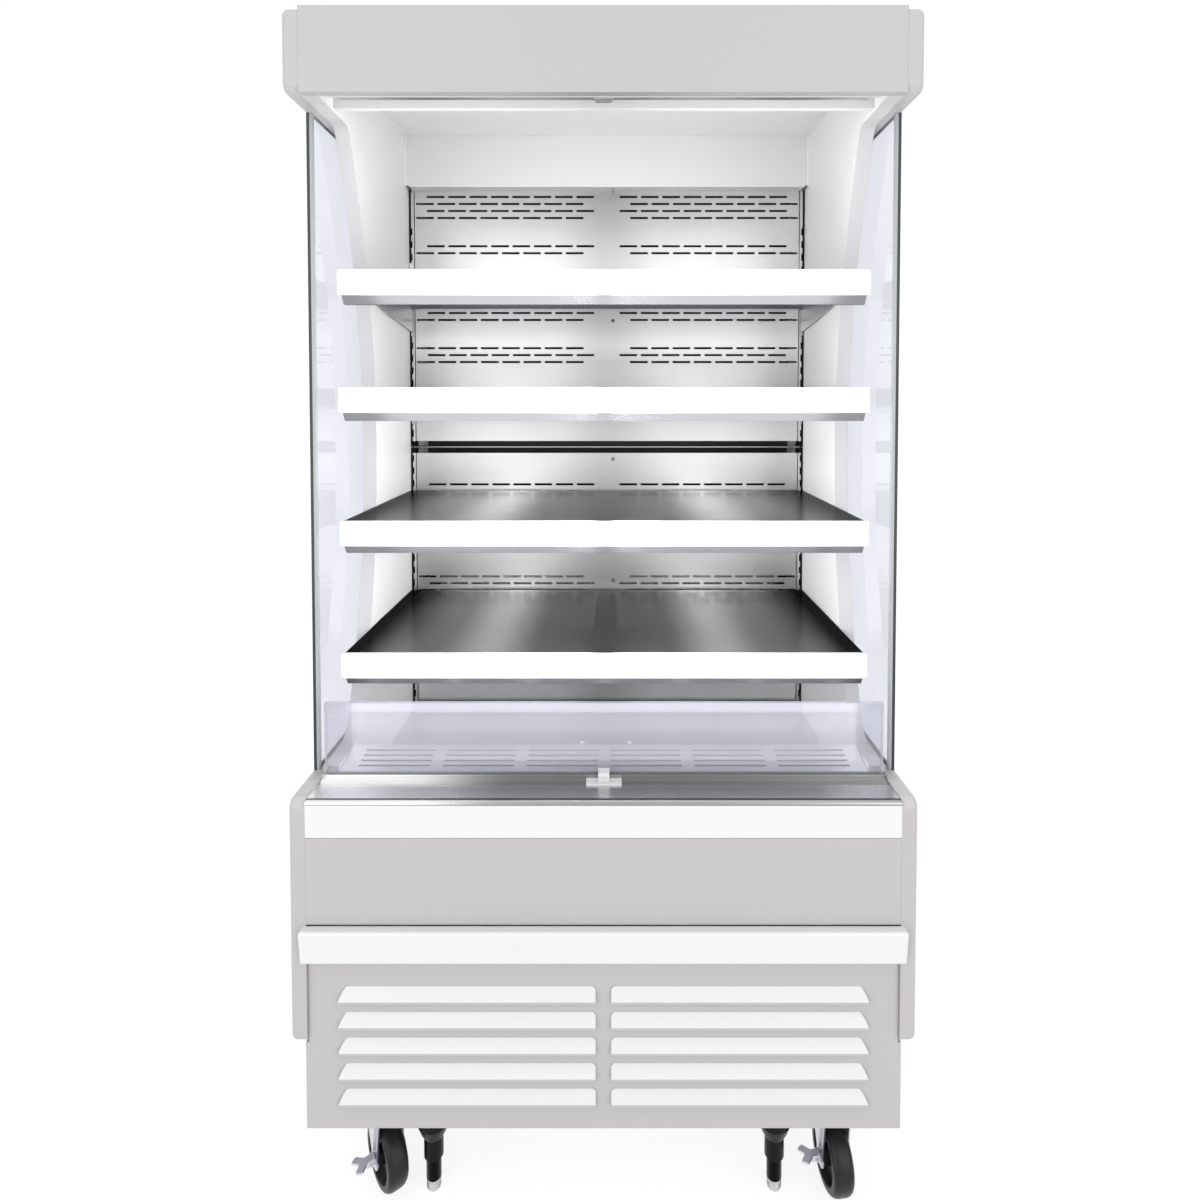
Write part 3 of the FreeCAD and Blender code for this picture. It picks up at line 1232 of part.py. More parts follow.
def fork_leg(x, low):
    """One tapered leg of the fork with a pressed rib outside, rounded about the axle."""
    front, rear = -(TRAIL + FORK_TOP_W) / 2, (FORK_TOP_W - TRAIL) / 2
    nose, tail = -TRAIL - FORK_END_R, -TRAIL + FORK_END_R
    top = low + FORK_T
    shoulder = WHEEL_R + FORK_END_R * math.sqrt(0.5)
    edges = [
        Part.makeLine(V(x, rear, top), V(x, front, top)),
        Part.makeLine(V(x, front, top), V(x, nose, WHEEL_R)),
        Part.Arc(V(x, nose, WHEEL_R), V(x, -TRAIL, WHEEL_R - FORK_END_R), V(x, tail, WHEEL_R)).toShape(),
        Part.makeLine(V(x, tail, WHEEL_R), V(x, tail, shoulder)),
        Part.makeLine(V(x, tail, shoulder), V(x, rear, top))]
    leg = Part.Face(Part.Wire(edges)).extrude(V(FORK_T, 0, 0))
    inset = FORK_RIB_INSET
    foot = WHEEL_R + LEVER_HUB_R + inset
    rib_x = x + FORK_T if x > 0 else x - FORK_RIB_T
    rib = face_of([V(rib_x, front + inset, low), V(rib_x, rear - 2 * inset, low),
                   V(rib_x, -TRAIL + inset / 2, foot), V(rib_x, -TRAIL - inset / 2, foot)])
    return joined(leg, rib.extrude(V(FORK_RIB_T, 0, 0)))


def caster_fork():
    """Fork about Z through the swivel axis: cupped disc, two tapered legs, axle bolt."""
    top = UNDERSIDE - PLATE_T - RACE_H - RACE_CLEAR
    low = top - FORK_DISC_H + RACE_CLEAR
    inner_x = WHEEL_W / 2 + FORK_GAP
    outer_x = inner_x + FORK_T
    hole_r = KING_R + KING_FIT
    disc = revolved([(hole_r, low), (FORK_DISC_R, low), (FORK_DISC_R, top - FORK_EDGE),
                     (FORK_DISC_R - FORK_EDGE, top), (hole_r, top)])
    crown_w = FORK_TOP_W * FORK_CROWN_SHARE
    crown = Part.makeBox(2 * outer_x, crown_w, FORK_CROWN_T, V(-outer_x, -(TRAIL + crown_w) / 2, low))
    crown = crown.cut(Part.makeCylinder(hole_r, FORK_DISC_H, V(0, 0, low)))
    tail = LEVER_T + NUT_GAP + LEVER_GAP
    bolt = across_x(AXLE_R, 2 * outer_x + tail + NUT_T, -outer_x - tail)
    head = across_x(AXLE_R + NUT_PROUD, NUT_T, outer_x)
    cap = across_x(AXLE_R + NUT_PROUD, NUT_T, -outer_x - tail - NUT_T)
    return joined(disc, crown, fork_leg(inner_x, low), fork_leg(-outer_x, low), bolt, head, cap)


def caster_wheel():
    """Wheel with a crowned tread, dished web and bored hub."""
    half = WHEEL_W / 2
    rim = WHEEL_R - RIM_T
    bore = AXLE_R + BORE_GAP
    hub_half = half + FORK_GAP - HUB_GAP
    side = [(bore, hub_half), (HUB_R, hub_half), (HUB_R + RIM_STEP / 3, WEB_HALF), (rim - RIM_STEP, WEB_HALF),
            (rim, half)]
    for step in range(TREAD_STEPS + 1):
        turn = math.pi / 2 * step / TREAD_STEPS
        crown_r = WHEEL_R - TREAD_CROWN * (1 - math.sin(turn))
        side.append((crown_r, half - TREAD_SHOULDER * (1 - math.cos(turn))))
    wheel = revolved([(r, -x) for r, x in side] + side[::-1])
    wheel.rotate(V(0, 0, 0), V(0, 1, 0), 90)
    wheel.translate(V(0, -TRAIL, WHEEL_R))
    return wheel


def brake_lever():
    """Side lever on the axle bolt with a two-lobed foot pedal that sticks out sideways."""
    x0 = -WHEEL_W / 2 - FORK_GAP - FORK_T - LEVER_GAP - LEVER_T
    hub = across_x(LEVER_HUB_R, LEVER_T, x0)
    arm_l = LEVER_REACH + PEDAL_W / 2
    arm = Part.makeBox(LEVER_T - 2 * LEVER_STEP, arm_l, LEVER_HUB_R,
                       V(x0 + LEVER_STEP, -TRAIL - arm_l, WHEEL_R))
    z = WHEEL_R + LEVER_HUB_R - LEVER_STEP
    middle = -TRAIL - LEVER_REACH
    tip, heel = x0 - PEDAL_L, x0 + LEVER_T / 2
    waist = x0 - PEDAL_L / 3
    pedal = face_of([V(heel, middle - PEDAL_NECK / 2, z), V(waist, middle - PEDAL_NECK / 2, z),
                     V(tip + PEDAL_NOTCH, middle - PEDAL_W / 2, z), V(tip, middle - PEDAL_W / 3, z),
                     V(tip + PEDAL_NOTCH, middle, z), V(tip, middle + PEDAL_W / 3, z),
                     V(tip + PEDAL_NOTCH, middle + PEDAL_W / 2, z), V(waist, middle + PEDAL_NECK / 2, z),
                     V(heel, middle + PEDAL_NECK / 2, z)]).extrude(V(0, 0, PEDAL_T))
    uprights = [e for e in pedal.Edges if e.BoundBox.ZLength > PEDAL_T / 2 and e.BoundBox.XMax < waist + 1]
    pedal = pedal.makeFillet(PEDAL_ROUND, uprights)
    return joined(hub, arm, pedal).cut(across_x(AXLE_R + BORE_GAP, LEVER_T, x0))


def leg_socket():
    """Black leg socket about Z: wide collar, waist, straight sleeve, bored for the foot."""
    bore = FOOT_R + BORE_GAP
    shoulder = UNDERSIDE - SOCKET_COLLAR_H
    neck = shoulder - SOCKET_FLARE_H
    bottom = UNDERSIDE - SOCKET_H
    roof = UNDERSIDE - SOCKET_ROOF_T
    return revolved([(bore, bottom), (SOCKET_R, bottom), (SOCKET_R, neck), (SOCKET_R + 1.5, neck + 4),
                     (SOCKET_R + 5.5, neck + 9), (SOCKET_TOP_R - 2, shoulder - 6), (SOCKET_TOP_R, shoulder),
                     (SOCKET_TOP_R, UNDERSIDE), (0, UNDERSIDE), (0, roof), (bore, roof)])


def levelling_foot():
    """Foot about Z: steel tip below, rod that runs up inside the socket."""
    tip = FOOT_BOTTOM + FOOT_TIP_H
    top = UNDERSIDE - SOCKET_ROOF_T - FOOT_ROD_GAP
    return revolved([(0, FOOT_BOTTOM), (FOOT_TIP_R - FOOT_EDGE, FOOT_BOTTOM),
                     (FOOT_TIP_R, FOOT_BOTTOM + FOOT_EDGE), (FOOT_TIP_R, tip), (FOOT_R, tip + FOOT_EDGE),
                     (FOOT_R, top), (0, top)])


def placed(shape, x, depth, yaw=0.0):
    """Copy of a piece made about Z, turned by yaw and set at x and depth."""
    copy = shape.copy()
    copy.rotate(V(0, 0, 0), V(0, 0, 1), yaw)
    copy.translate(V(x, y_at(depth), 0))
    return copy


CASTERS = {
    "front_left": (-KING_X, KING_DEPTH, YAW_FRONT_LEFT),
    "front_right": (KING_X, KING_DEPTH, YAW_FRONT_RIGHT),
    "rear_left": (-KING_X, KING_REAR_DEPTH, YAW_REAR_LEFT),
    "rear_right": (KING_X, KING_REAR_DEPTH, YAW_REAR_RIGHT),
}
LEGS = {
    "front_left": (-LEG_X, LEG_DEPTH),
    "front_right": (LEG_X, LEG_DEPTH),
    "rear_left": (-LEG_X, LEG_REAR_DEPTH),
    "rear_right": (LEG_X, LEG_REAR_DEPTH),
}


# ---- Assembly ----------------------------------------------------------------------

nodes = {}
nodes["insulated_shell"] = insulated_shell()
nodes["side_walls"] = pair(side_wall())
nodes["side_glass"] = pair(side_glass())
nodes["glass_trims"] = glass_trims()
nodes["header_caps"] = pair(end_cap(HEADER_SETBACK, HEADER_BOTTOM, HEIGHT, HEADER_BOTTOM,
                                    HEADER_BOTTOM + GLASS_BITE))
nodes["base_caps"] = pair(end_cap(0.0, BASE_CAP_BOTTOM, BASE_CAP_TOP, BASE_CAP_TOP - GLASS_BITE,
                                  BASE_CAP_TOP))
nodes["header_fascia"] = header_fascia()
nodes["soffit"] = soffit()
nodes["discharge_grille"] = discharge_grille()
nodes["top_cover"] = top_cover()
nodes["back_panel_upper"] = slotted_panel(PANEL_SPLIT_HIGH, CEILING, upper_slots())
nodes["back_panel_lower"] = slotted_panel(DECK_Z + FIT, PANEL_SPLIT_LOW, lower_slots())
nodes["shelf_uprights"] = shelf_uprights()
for number, step in enumerate(SHELF_STEPS, 1):
    nodes["shelf_tray_%d" % number] = shelf_tray(shelf_top(step))
nodes["shelf_rails"] = shelf_rails()
nodes["shelf_brackets"] = shelf_brackets()
nodes["deck_tray"] = deck_tray()
nodes["return_grille"] = return_grille()
nodes["front_ledge"] = front_ledge()
nodes["front_band"] = front_cover(BAND_BOTTOM, BAND_TOP)
nodes["front_panel"] = front_cover(PANEL_BOTTOM, BAND_BOTTOM - SEAM)
nodes["bumper_strip"] = bumper_strip()
nodes["riser_glass"] = riser_glass()
nodes["curtain_catch"] = curtain_catch()
nodes["louvre_panel"] = louvre_panel()
nodes["base_frame"] = base_frame()
nodes["rear_grille"] = rear_grille()
nodes["condenser_coil"] = condenser_coil()
nodes["condenser_shroud"], nodes["condenser_fan"] = condenser_air()
nodes["evaporator_fan_plate"], evaporator_fans = evaporator_air()
nodes["evaporator_fan_left"], nodes["evaporator_fan_right"] = evaporator_fans
nodes["evaporator_coil"] = evaporator_coil()
nodes["compressor"] = compressor()
nodes["drain_pan"] = drain_pan()
nodes["control_box"] = control_box()
nodes["curtain_cassette"] = curtain_cassette()
nodes["curtain_roller"] = curtain_roller()
nodes["curtain_sheet"] = curtain_sheet()
nodes["curtain_bar"] = curtain_bar()

plate, fork, wheel, lever = caster_plate(), caster_fork(), caster_wheel(), brake_lever()
nodes["caster_plates"] = Part.makeCompound([placed(plate, x, depth) for x, depth, yaw in CASTERS.values()])
for corner, place in CASTERS.items():
    nodes["caster_fork_" + corner] = placed(fork, *place)
    nodes["caster_wheel_" + corner] = placed(wheel, *place)
    if corner.startswith("front"):
        nodes["brake_lever_" + corner] = placed(lever, *place)
socket, foot = leg_socket(), levelling_foot()
nodes["leg_sockets"] = Part.makeCompound([placed(socket, x, depth) for x, depth in LEGS.values()])
for corner, place in LEGS.items():
    nodes["foot_" + corner] = placed(foot, *place)

for name, shape in nodes.items():
    if not shape.isValid():
        print("not valid:", name)
    shape.exportStep("parts/%s.step" % name)

total = Part.makeCompound(list(nodes.values())).BoundBox
print(len(nodes), "nodes; x %.1f %.1f y %.1f %.1f z %.1f %.1f" % (
    total.XMin, total.XMax, total.YMin, total.YMax, total.ZMin, total.ZMax))
for name, shape in nodes.items():
    print(name, len(shape.Solids), round(shape.Volume / 1e3, 1))
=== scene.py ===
import math

import bpy
from mathutils import Matrix, Vector


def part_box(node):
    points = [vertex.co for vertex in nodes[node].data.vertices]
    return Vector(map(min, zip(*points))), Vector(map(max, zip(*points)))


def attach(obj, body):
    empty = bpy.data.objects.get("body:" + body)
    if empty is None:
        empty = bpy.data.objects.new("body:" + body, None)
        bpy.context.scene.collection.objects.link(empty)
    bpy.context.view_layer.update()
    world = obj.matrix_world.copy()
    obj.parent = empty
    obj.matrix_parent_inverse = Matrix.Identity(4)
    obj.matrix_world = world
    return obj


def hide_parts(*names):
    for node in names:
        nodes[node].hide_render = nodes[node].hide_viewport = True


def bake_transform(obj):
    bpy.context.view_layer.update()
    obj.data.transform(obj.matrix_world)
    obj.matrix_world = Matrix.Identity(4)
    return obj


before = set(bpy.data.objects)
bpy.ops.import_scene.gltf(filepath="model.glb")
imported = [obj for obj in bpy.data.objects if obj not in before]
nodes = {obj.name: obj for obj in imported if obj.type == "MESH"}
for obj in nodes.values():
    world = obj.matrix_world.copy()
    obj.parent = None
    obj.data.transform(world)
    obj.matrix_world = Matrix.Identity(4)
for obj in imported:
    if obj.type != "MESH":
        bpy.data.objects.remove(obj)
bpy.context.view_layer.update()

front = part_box("front_band")[0].y

# ---- Studio -------------------------------------------------------------------
# A white floor that meets a white sky, two tall softboxes in front and one above, and hidden
# fills inside the cabinet for the shelves, the walls and the ceiling. The camera stands as
# for the photograph: close, level with the third shelf, hardly tilted.

PICTURE = 1200.0
FOCAL_PIXELS = 766.0
AXIS_PIXEL = (615.0, 422.0)
TILT = math.atan(0.031)
CAMERA_ASIDE = 0.017
CAMERA_DISTANCE = 1.099
CAMERA_HEIGHT = 1.221

camera_data = bpy.data.cameras.new("camera")
camera_data.sensor_width = 36.0
camera_data.lens = FOCAL_PIXELS / PICTURE * camera_data.sensor_width
camera_data.shift_x = (PICTURE / 2 - AXIS_PIXEL[0]) / PICTURE
camera_data.shift_y = (AXIS_PIXEL[1] - PICTURE / 2) / PICTURE
camera_data.clip_start = 0.02
camera = bpy.data.objects.new("camera", camera_data)
camera.location = (CAMERA_ASIDE, front - CAMERA_DISTANCE, CAMERA_HEIGHT)
camera.rotation_euler = (math.pi / 2 - TILT, 0.0, 0.0)
bpy.context.scene.collection.objects.link(camera)
bpy.context.scene.camera = camera
bpy.context.scene.view_settings.view_transform = "Standard"


def new_material(name):
    """Material with a Principled shader; gives the material, a node maker and the shader."""
    material = bpy.data.materials.new(name)
    material.use_nodes = True
    tree = material.node_tree
    shader = tree.nodes["Principled BSDF"]

    def add(kind, links=(), **values):
        node = tree.nodes.new(kind)
        for key, value in values.items():
            if hasattr(node, key):
                setattr(node, key, value)
            else:
                node.inputs[key.replace("_", " ")].default_value = value
        for socket, source in dict(links).items():
            tree.links.new(source, node.inputs[socket])
        return node

    return material, add, shader


def join_up(material, source, socket):
    material.node_tree.links.new(source, socket)


def linked(mesh, name):
    """New object at the origin for a finished mesh."""
    obj = bpy.data.objects.new(name, mesh)
    bpy.context.scene.collection.objects.link(obj)
    return obj


def dress(material, *names):
    """The CAD nodes of these names take this material."""
    for name in names:
        obj = nodes[name]
        obj.data.materials.clear()
        obj.data.materials.append(material)


FLOOR_HALF = 60.0
floor_mesh = bpy.data.meshes.new("studio_floor")
floor_mesh.from_pydata([(-FLOOR_HALF, -FLOOR_HALF, 0), (FLOOR_HALF, -FLOOR_HALF, 0),
                        (FLOOR_HALF, FLOOR_HALF, 0), (-FLOOR_HALF, FLOOR_HALF, 0)], [], [(0, 1, 2, 3)])
floor = linked(floor_mesh, "studio_floor")
floor_material, _, shader = new_material("studio_floor")
shader.inputs["Base Color"].default_value = (0.22, 0.22, 0.22, 1.0)
shader.inputs["Roughness"].default_value = 0.9
shader.inputs["Specular IOR Level"].default_value = 0.0
shader.inputs["Emission Color"].default_value = (1.0, 1.0, 1.0, 1.0)
shader.inputs["Emission Strength"].default_value = 0.82
floor_mesh.materials.append(floor_material)

sky = bpy.data.worlds.new("studio_sky")
sky.use_nodes = True
sky.node_tree.nodes["Background"].inputs["Color"].default_value = (1.0, 1.0, 1.0, 1.0)
sky.node_tree.nodes["Background"].inputs["Strength"].default_value = 1.02
bpy.context.scene.world = sky


def softbox(name, place, aim, width, height, power, mirrored=True):
    """Soft rectangular lamp that looks at a point; mirrored lets steel and glass reflect it."""
    lamp = bpy.data.lights.new(name, "AREA")
    lamp.shape = "RECTANGLE"
    lamp.size, lamp.size_y, lamp.energy = width, height, power
    obj = bpy.data.objects.new(name, lamp)
    obj.location = place
    obj.rotation_euler = (Vector(aim) - Vector(place)).to_track_quat("-Z", "Y").to_euler()
    obj.visible_camera = False
    obj.visible_glossy = mirrored
    bpy.context.scene.collection.objects.link(obj)


softbox("front_left_softbox", (-1.5, -2.3, 1.3), (0, 0.2, 0.95), 1.5, 2.4, 20)
softbox("front_right_softbox", (1.6, -2.3, 1.3), (0, 0.2, 0.95), 1.5, 2.4, 20)
softbox("top_softbox", (0, -0.9, 3.4), (0, 0, 1.0), 2.4, 1.6, 10)

# Two fills hang just behind the curtain and shine on the shelves. Narrow ones in the middle
# of the width shine on the walls, in front of the shelves and between them at mid depth.
OPENING_Y = front + 0.057
WALL_FILL_Y, WALL_FILL_Z = front + 0.068, 1.13
WALL_AIM_Y = front + 0.25
DEEP_FILL_Y, DEEP_FILL_Z = 0.02, 0.98
FILL_X, WALL_X = 0.02, 0.5
softbox("opening_fill", (0, OPENING_Y, 1.15), (0, 0.5, 1.15), 0.78, 0.98, 3.0)
softbox("lower_fill", (0, OPENING_Y, 1.02), (0, 0.5, 1.02), 0.78, 0.62, 2.5)
for side, sign in (("left", -1), ("right", 1)):
    softbox(side + "_wall_fill", (sign * FILL_X, WALL_FILL_Y, WALL_FILL_Z),
            (sign * WALL_X, WALL_AIM_Y, WALL_FILL_Z), 0.03, 0.56, 2.6, False)
softbox("ceiling_fill", (0, -0.03, 1.52), (0, -0.03, 1.75), 0.60, 0.16, 0.08, False)
for side, sign, power in (("left", -1, 2.2), ("right", 1, 1.9)):
    softbox(side + "_deep_fill", (sign * FILL_X, DEEP_FILL_Y, DEEP_FILL_Z),
            (sign * WALL_X, DEEP_FILL_Y, DEEP_FILL_Z), 0.26, 0.72, power, False)

# ---- Powder-coated body ---------------------------------------------------------
# Light warm grey coat on folded sheet: header, caps, front panel, chassis; the foamed side walls are a shade
# paler. The coat has a fine orange peel and softened edges.

BODY_GREY = (0.415, 0.401, 0.407)
WALL_GREY = (0.530, 0.518, 0.522)
# The inner grey is painted light: far paler than the coat, it lifts the shade inside the cabinet.
INNER_SHADE_LIFT_GREY = (0.90, 0.885, 0.89)
WHITE = (0.655, 0.655, 0.66)


def powder_coat(name, colour, roughness=0.42):
    """Baked coat: fine orange peel, faintly uneven gloss and tone, softened edges."""
    material, add, shader = new_material(name)
    place = add("ShaderNodeTexCoord").outputs["Object"]
    tone = add("ShaderNodeTexNoise", {"Vector": place}, Scale=2.2, Detail=3.0)
    mix = add("ShaderNodeMix", {"Factor": tone.outputs["Fac"]}, data_type="RGBA")
    mix.name = "tone"
    mix.inputs[6].default_value = tuple(c * 0.97 for c in colour) + (1.0,)
    mix.inputs[7].default_value = colour + (1.0,)
    join_up(material, mix.outputs[2], shader.inputs["Base Color"])
    gloss = add("ShaderNodeMapRange", {"Value": tone.outputs["Fac"]})
    gloss.inputs["To Min"].default_value = roughness - 0.05
    gloss.inputs["To Max"].default_value = roughness + 0.05
    join_up(material, gloss.outputs["Result"], shader.inputs["Roughness"])
    peel = add("ShaderNodeTexNoise", {"Vector": place}, Scale=520.0, Detail=2.0)
    edge = add("ShaderNodeBevel", samples=4, Radius=0.0012)
    bump = add("ShaderNodeBump", {"Height": peel.outputs["Fac"], "Normal": edge.outputs["Normal"]},
               Strength=0.10, Distance=0.0004)
    join_up(material, bump.outputs["Normal"], shader.inputs["Normal"])
    return material


def feed(tree, socket, value):
    """Links another node's output to the socket, or sets a number or a colour on it."""
    if isinstance(value, bpy.types.NodeSocket):
        tree.links.new(value, socket)
    else:
        socket.default_value = value + (1.0,) if isinstance(value, tuple) else value


def computed(tree, operation, *values):
    """Output of a math node on numbers and other outputs."""
    node = tree.nodes.new("ShaderNodeMath")
    node.operation = operation
    for socket, value in zip(node.inputs, values):
        feed(tree, socket, value)
    return node.outputs["Value"]


def mixed(tree, share, first, second, blend="MIX"):
    """Output of a mix of two colours."""
    node = tree.nodes.new("ShaderNodeMix")
    node.data_type, node.blend_type = "RGBA", blend
    for socket, value in ((node.inputs["Factor"], share), (node.inputs[6], first), (node.inputs[7], second)):
        feed(tree, socket, value)
    return node.outputs[2]


def axes_of(tree, kind="ShaderNodeTexCoord", vector="Object"):
    """The X, Y and Z outputs of the place on the object, or of another vector."""
    split = tree.nodes.new("ShaderNodeSeparateXYZ")
    tree.links.new(tree.nodes.new(kind).outputs[vector], split.inputs["Vector"])
    return split.outputs


def colour_of(material):
    """The material's tree, what feeds its base colour now, and the socket that it feeds."""
    tree = material.node_tree
    target = tree.nodes["Principled BSDF"].inputs["Base Color"]
    return tree, target.links[0].from_socket, target


def painted(material, colour, **ranges):
    """Inside the ranges, in metres along X, Y or Z or across |x|, the surface takes another colour; some
    calls give a second finish, others painted light and shade.
    """
    tree, source, target = colour_of(material)
    place = axes_of(tree)
    share = None
    for axis, (low, high) in ranges.items():
        value = computed(tree, "ABSOLUTE", place["X"]) if axis == "across" else place[axis.upper()]
        inside = computed(tree, "COMPARE", value, (low + high) / 2, (high - low) / 2)
        share = computed(tree, "MULTIPLY", share, inside) if share else inside
    feed(tree, target, mixed(tree, share, source, colour))


body_coat = powder_coat("body_coat", BODY_GREY)
dress(body_coat, "header_caps", "base_caps", "header_fascia", "front_panel", "base_frame", "rear_grille")
wall_coat = powder_coat("wall_coat", WALL_GREY)
INNER_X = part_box("insulated_shell")[1].x
# Painted light: the walls' inner faces take a much paler colour than their outer skin, to lift the shade
# inside the cabinet.
painted(wall_coat, INNER_SHADE_LIFT_GREY, across=(0.0, INNER_X + 0.0002))
dress(wall_coat, "side_walls")
# Painted light: the top cover takes a paler copy of the coat, to lift the shade inside the cabinet.
shade_lifted_inner_coat = powder_coat("shade_lifted_inner_coat", (0.76, 0.747, 0.752))
dress(shade_lifted_inner_coat, "top_cover")
# Painted light: the header's downward-facing soffit takes a paler copy of the coat, to lift its shade.
shade_lifted_soffit_coat = powder_coat("shade_lifted_soffit_coat", (0.64, 0.63, 0.634))
dress(shade_lifted_soffit_coat, "soffit")

# The hoods of the louvres stand proud of the panel; their faces are painted paler, a painted highlight for
# the light they catch.
HOOD_HIGHLIGHT_GREY = (0.63, 0.62, 0.625)
HOOD_SLOPE = (0.0002, 0.0062)
hood_coat = powder_coat("hood_coat", BODY_GREY)
hood_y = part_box("louvre_panel")[0].y
painted(hood_coat, HOOD_HIGHLIGHT_GREY, y=(hood_y + HOOD_SLOPE[0], hood_y + HOOD_SLOPE[1]))
dress(hood_coat, "louvre_panel")

# ---- Foamed body and rear air duct ------------------------------------------------
# Roof, back and tub foamed in one. Its top, bottom and rear skin is body grey, and the rest takes the pale
# inner grey, painted light that lifts the shade inside the cabinet. Behind the slotted panels, in the duct,
# its skin is painted near black as the duct's shade.

# The duct's limits are measured from the shell's top, rear and bottom.
DUCT_TOP, DUCT_REAR, DUCT_BOTTOM = 0.023, 0.044, 0.030
SKIN_T = 0.001
DUCT_PAINTED_SHADE = (0.02, 0.02, 0.02)
shell_low, shell_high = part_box("insulated_shell")
liner_coat = powder_coat("liner_coat", BODY_GREY)
# Painted light: all but the top, bottom and rear skin takes the pale inner grey.
painted(liner_coat, INNER_SHADE_LIFT_GREY, z=(shell_low.z + SKIN_T, shell_high.z - SKIN_T),
        y=(-1.0, shell_high.y - SKIN_T))
# Painted shade: the duct's skin behind the slotted panels is near black.
painted(liner_coat, DUCT_PAINTED_SHADE, z=(shell_low.z + DUCT_BOTTOM, shell_high.z - DUCT_TOP),
        y=(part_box("back_panel_upper")[1].y, shell_high.y - DUCT_REAR))
dress(liner_coat, "insulated_shell")

# ---- White band, rails and bumper --------------------------------------------------
# White coated band under the ledge, extruded price rails on the shelf lips,
# extruded bumper strip across the front, the discharge grille and the moulded catch.

white_coat = powder_coat("white_coat", WHITE, 0.30)
dress(white_coat, "front_band", "shelf_rails", "bumper_strip", "curtain_catch", "discharge_grille")

# ---- Stainless interior -----------------------------------------------------------
# Brushed stainless sheet: slotted back panels, uprights, shelves, deck, grille, ledge. The grain runs across
# the width. Bands across the width of the trays, back panels, deck and brackets are painted reflection of the
# bright opening, and the back panels, uprights and ledge carry further painted light and shade.


def brushed_steel(name, colour, roughness, grain=(3.0, 900.0, 900.0)):
    """Steel with a fine brushed grain; the stretch of the grain is per axis."""
    material, add, shader = new_material(name)
    shader.inputs["Metallic"].default_value = 1.0
    place = add("ShaderNodeTexCoord").outputs["Object"]
    stretch = add("ShaderNodeMapping", {"Vector": place})
    stretch.inputs["Scale"].default_value = grain
    lines = add("ShaderNodeTexNoise", {"Vector": stretch.outputs["Vector"]}, Scale=1.0, Detail=4.0)
    cloud = add("ShaderNodeTexNoise", {"Vector": place}, Scale=4.0, Detail=2.0)
    mix = add("ShaderNodeMix", {"Factor": lines.outputs["Fac"]}, data_type="RGBA")
    mix.inputs[6].default_value = tuple(c * 0.90 for c in colour) + (1.0,)
    mix.inputs[7].default_value = tuple(min(c * 1.06, 1.0) for c in colour) + (1.0,)
    join_up(material, mix.outputs[2], shader.inputs["Base Color"])
    rough = add("ShaderNodeMapRange", {"Value": cloud.outputs["Fac"]})
    rough.inputs["To Min"].default_value = roughness - 0.05
    rough.inputs["To Max"].default_value = roughness + 0.06
    join_up(material, rough.outputs["Result"], shader.inputs["Roughness"])
    edge = add("ShaderNodeBevel", samples=4, Radius=0.0008)
    bump = add("ShaderNodeBump", {"Height": lines.outputs["Fac"], "Normal": edge.outputs["Normal"]},
               Strength=0.08, Distance=0.0003)
    join_up(material, bump.outputs["Normal"], shader.inputs["Normal"])
    return material


def painted_reflection_bands(material, stops, other=None):
    """Painted reflection: multiplies a steel's colour by a ramp over |x| in half widths; other is a painted
    shade level for faces not looking up, and then the level also tints the specular.
    """
    tree, source, target = colour_of(material)
    share = computed(tree, "DIVIDE", computed(tree, "ABSOLUTE", axes_of(tree)["X"]), INNER_X)
    ramp = tree.nodes.new("ShaderNodeValToRGB")
    ramp.color_ramp.interpolation = "EASE"
    feed(tree, ramp.inputs["Fac"], share)
    elements = ramp.color_ramp.elements
    while len(elements) < len(stops):
        elements.new(0.5)
    for element, (position, level) in zip(elements, stops):
        element.position = position
        element.color = (level, level, level, 1.0)
    level = ramp.outputs["Color"]
    if other:
        up = computed(tree, "GREATER_THAN", axes_of(tree, "ShaderNodeNewGeometry", "True Normal")["Z"], 0.9)
        level = mixed(tree, up, other, level)
        feed(tree, tree.nodes["Principled BSDF"].inputs["Specular Tint"], computed(tree, "POWER", level, 0.5))
    feed(tree, target, mixed(tree, 1.0, source, level, "MULTIPLY"))


def faded(tree, value, places, levels, kind="LINEAR"):
    """Output that goes from one level to the other between two places."""
    node = tree.nodes.new("ShaderNodeMapRange")
    node.interpolation_type = kind
    for label, number in zip(("From Min", "From Max", "To Min", "To Max"), places + levels):
        node.inputs[label].default_value = number
    tree.links.new(value, node.inputs["Value"])
    return node.outputs["Result"]


def painted_light_gain(material, full, none, gain, axis="X"):
    """Painted light and shade: multiplies a steel's colour by the gain beyond one place on an axis, fading
    out at another.
    """
    tree, source, target = colour_of(material)
    level = faded(tree, axes_of(tree)[axis], (full, none), (gain, 1.0), "SMOOTHSTEP")
    scale = tree.nodes.new("ShaderNodeVectorMath")
    scale.operation = "SCALE"
    feed(tree, scale.inputs[0], source)
    feed(tree, scale.inputs["Scale"], level)
    feed(tree, target, scale.outputs["Vector"])


def shade_painted_on_cut_edges(material):
    """Painted shade: the sheet's cut edges, which don't face front or back, are painted near black, so the
    slots look dark.
    """
    tree, source, target = colour_of(material)
    across = axes_of(tree, "ShaderNodeNewGeometry", "True Normal")["Y"]
    feed(tree, target, mixed(tree, computed(tree, "COMPARE", across, 0.0, 0.5), source, (0.01, 0.01, 0.01)))


def set_metallic(material, share):
    material.node_tree.nodes["Principled BSDF"].inputs["Metallic"].default_value = share


SHEET_GREY = (0.66, 0.66, 0.66)
panel_steel = brushed_steel("panel_steel", SHEET_GREY, 0.36)
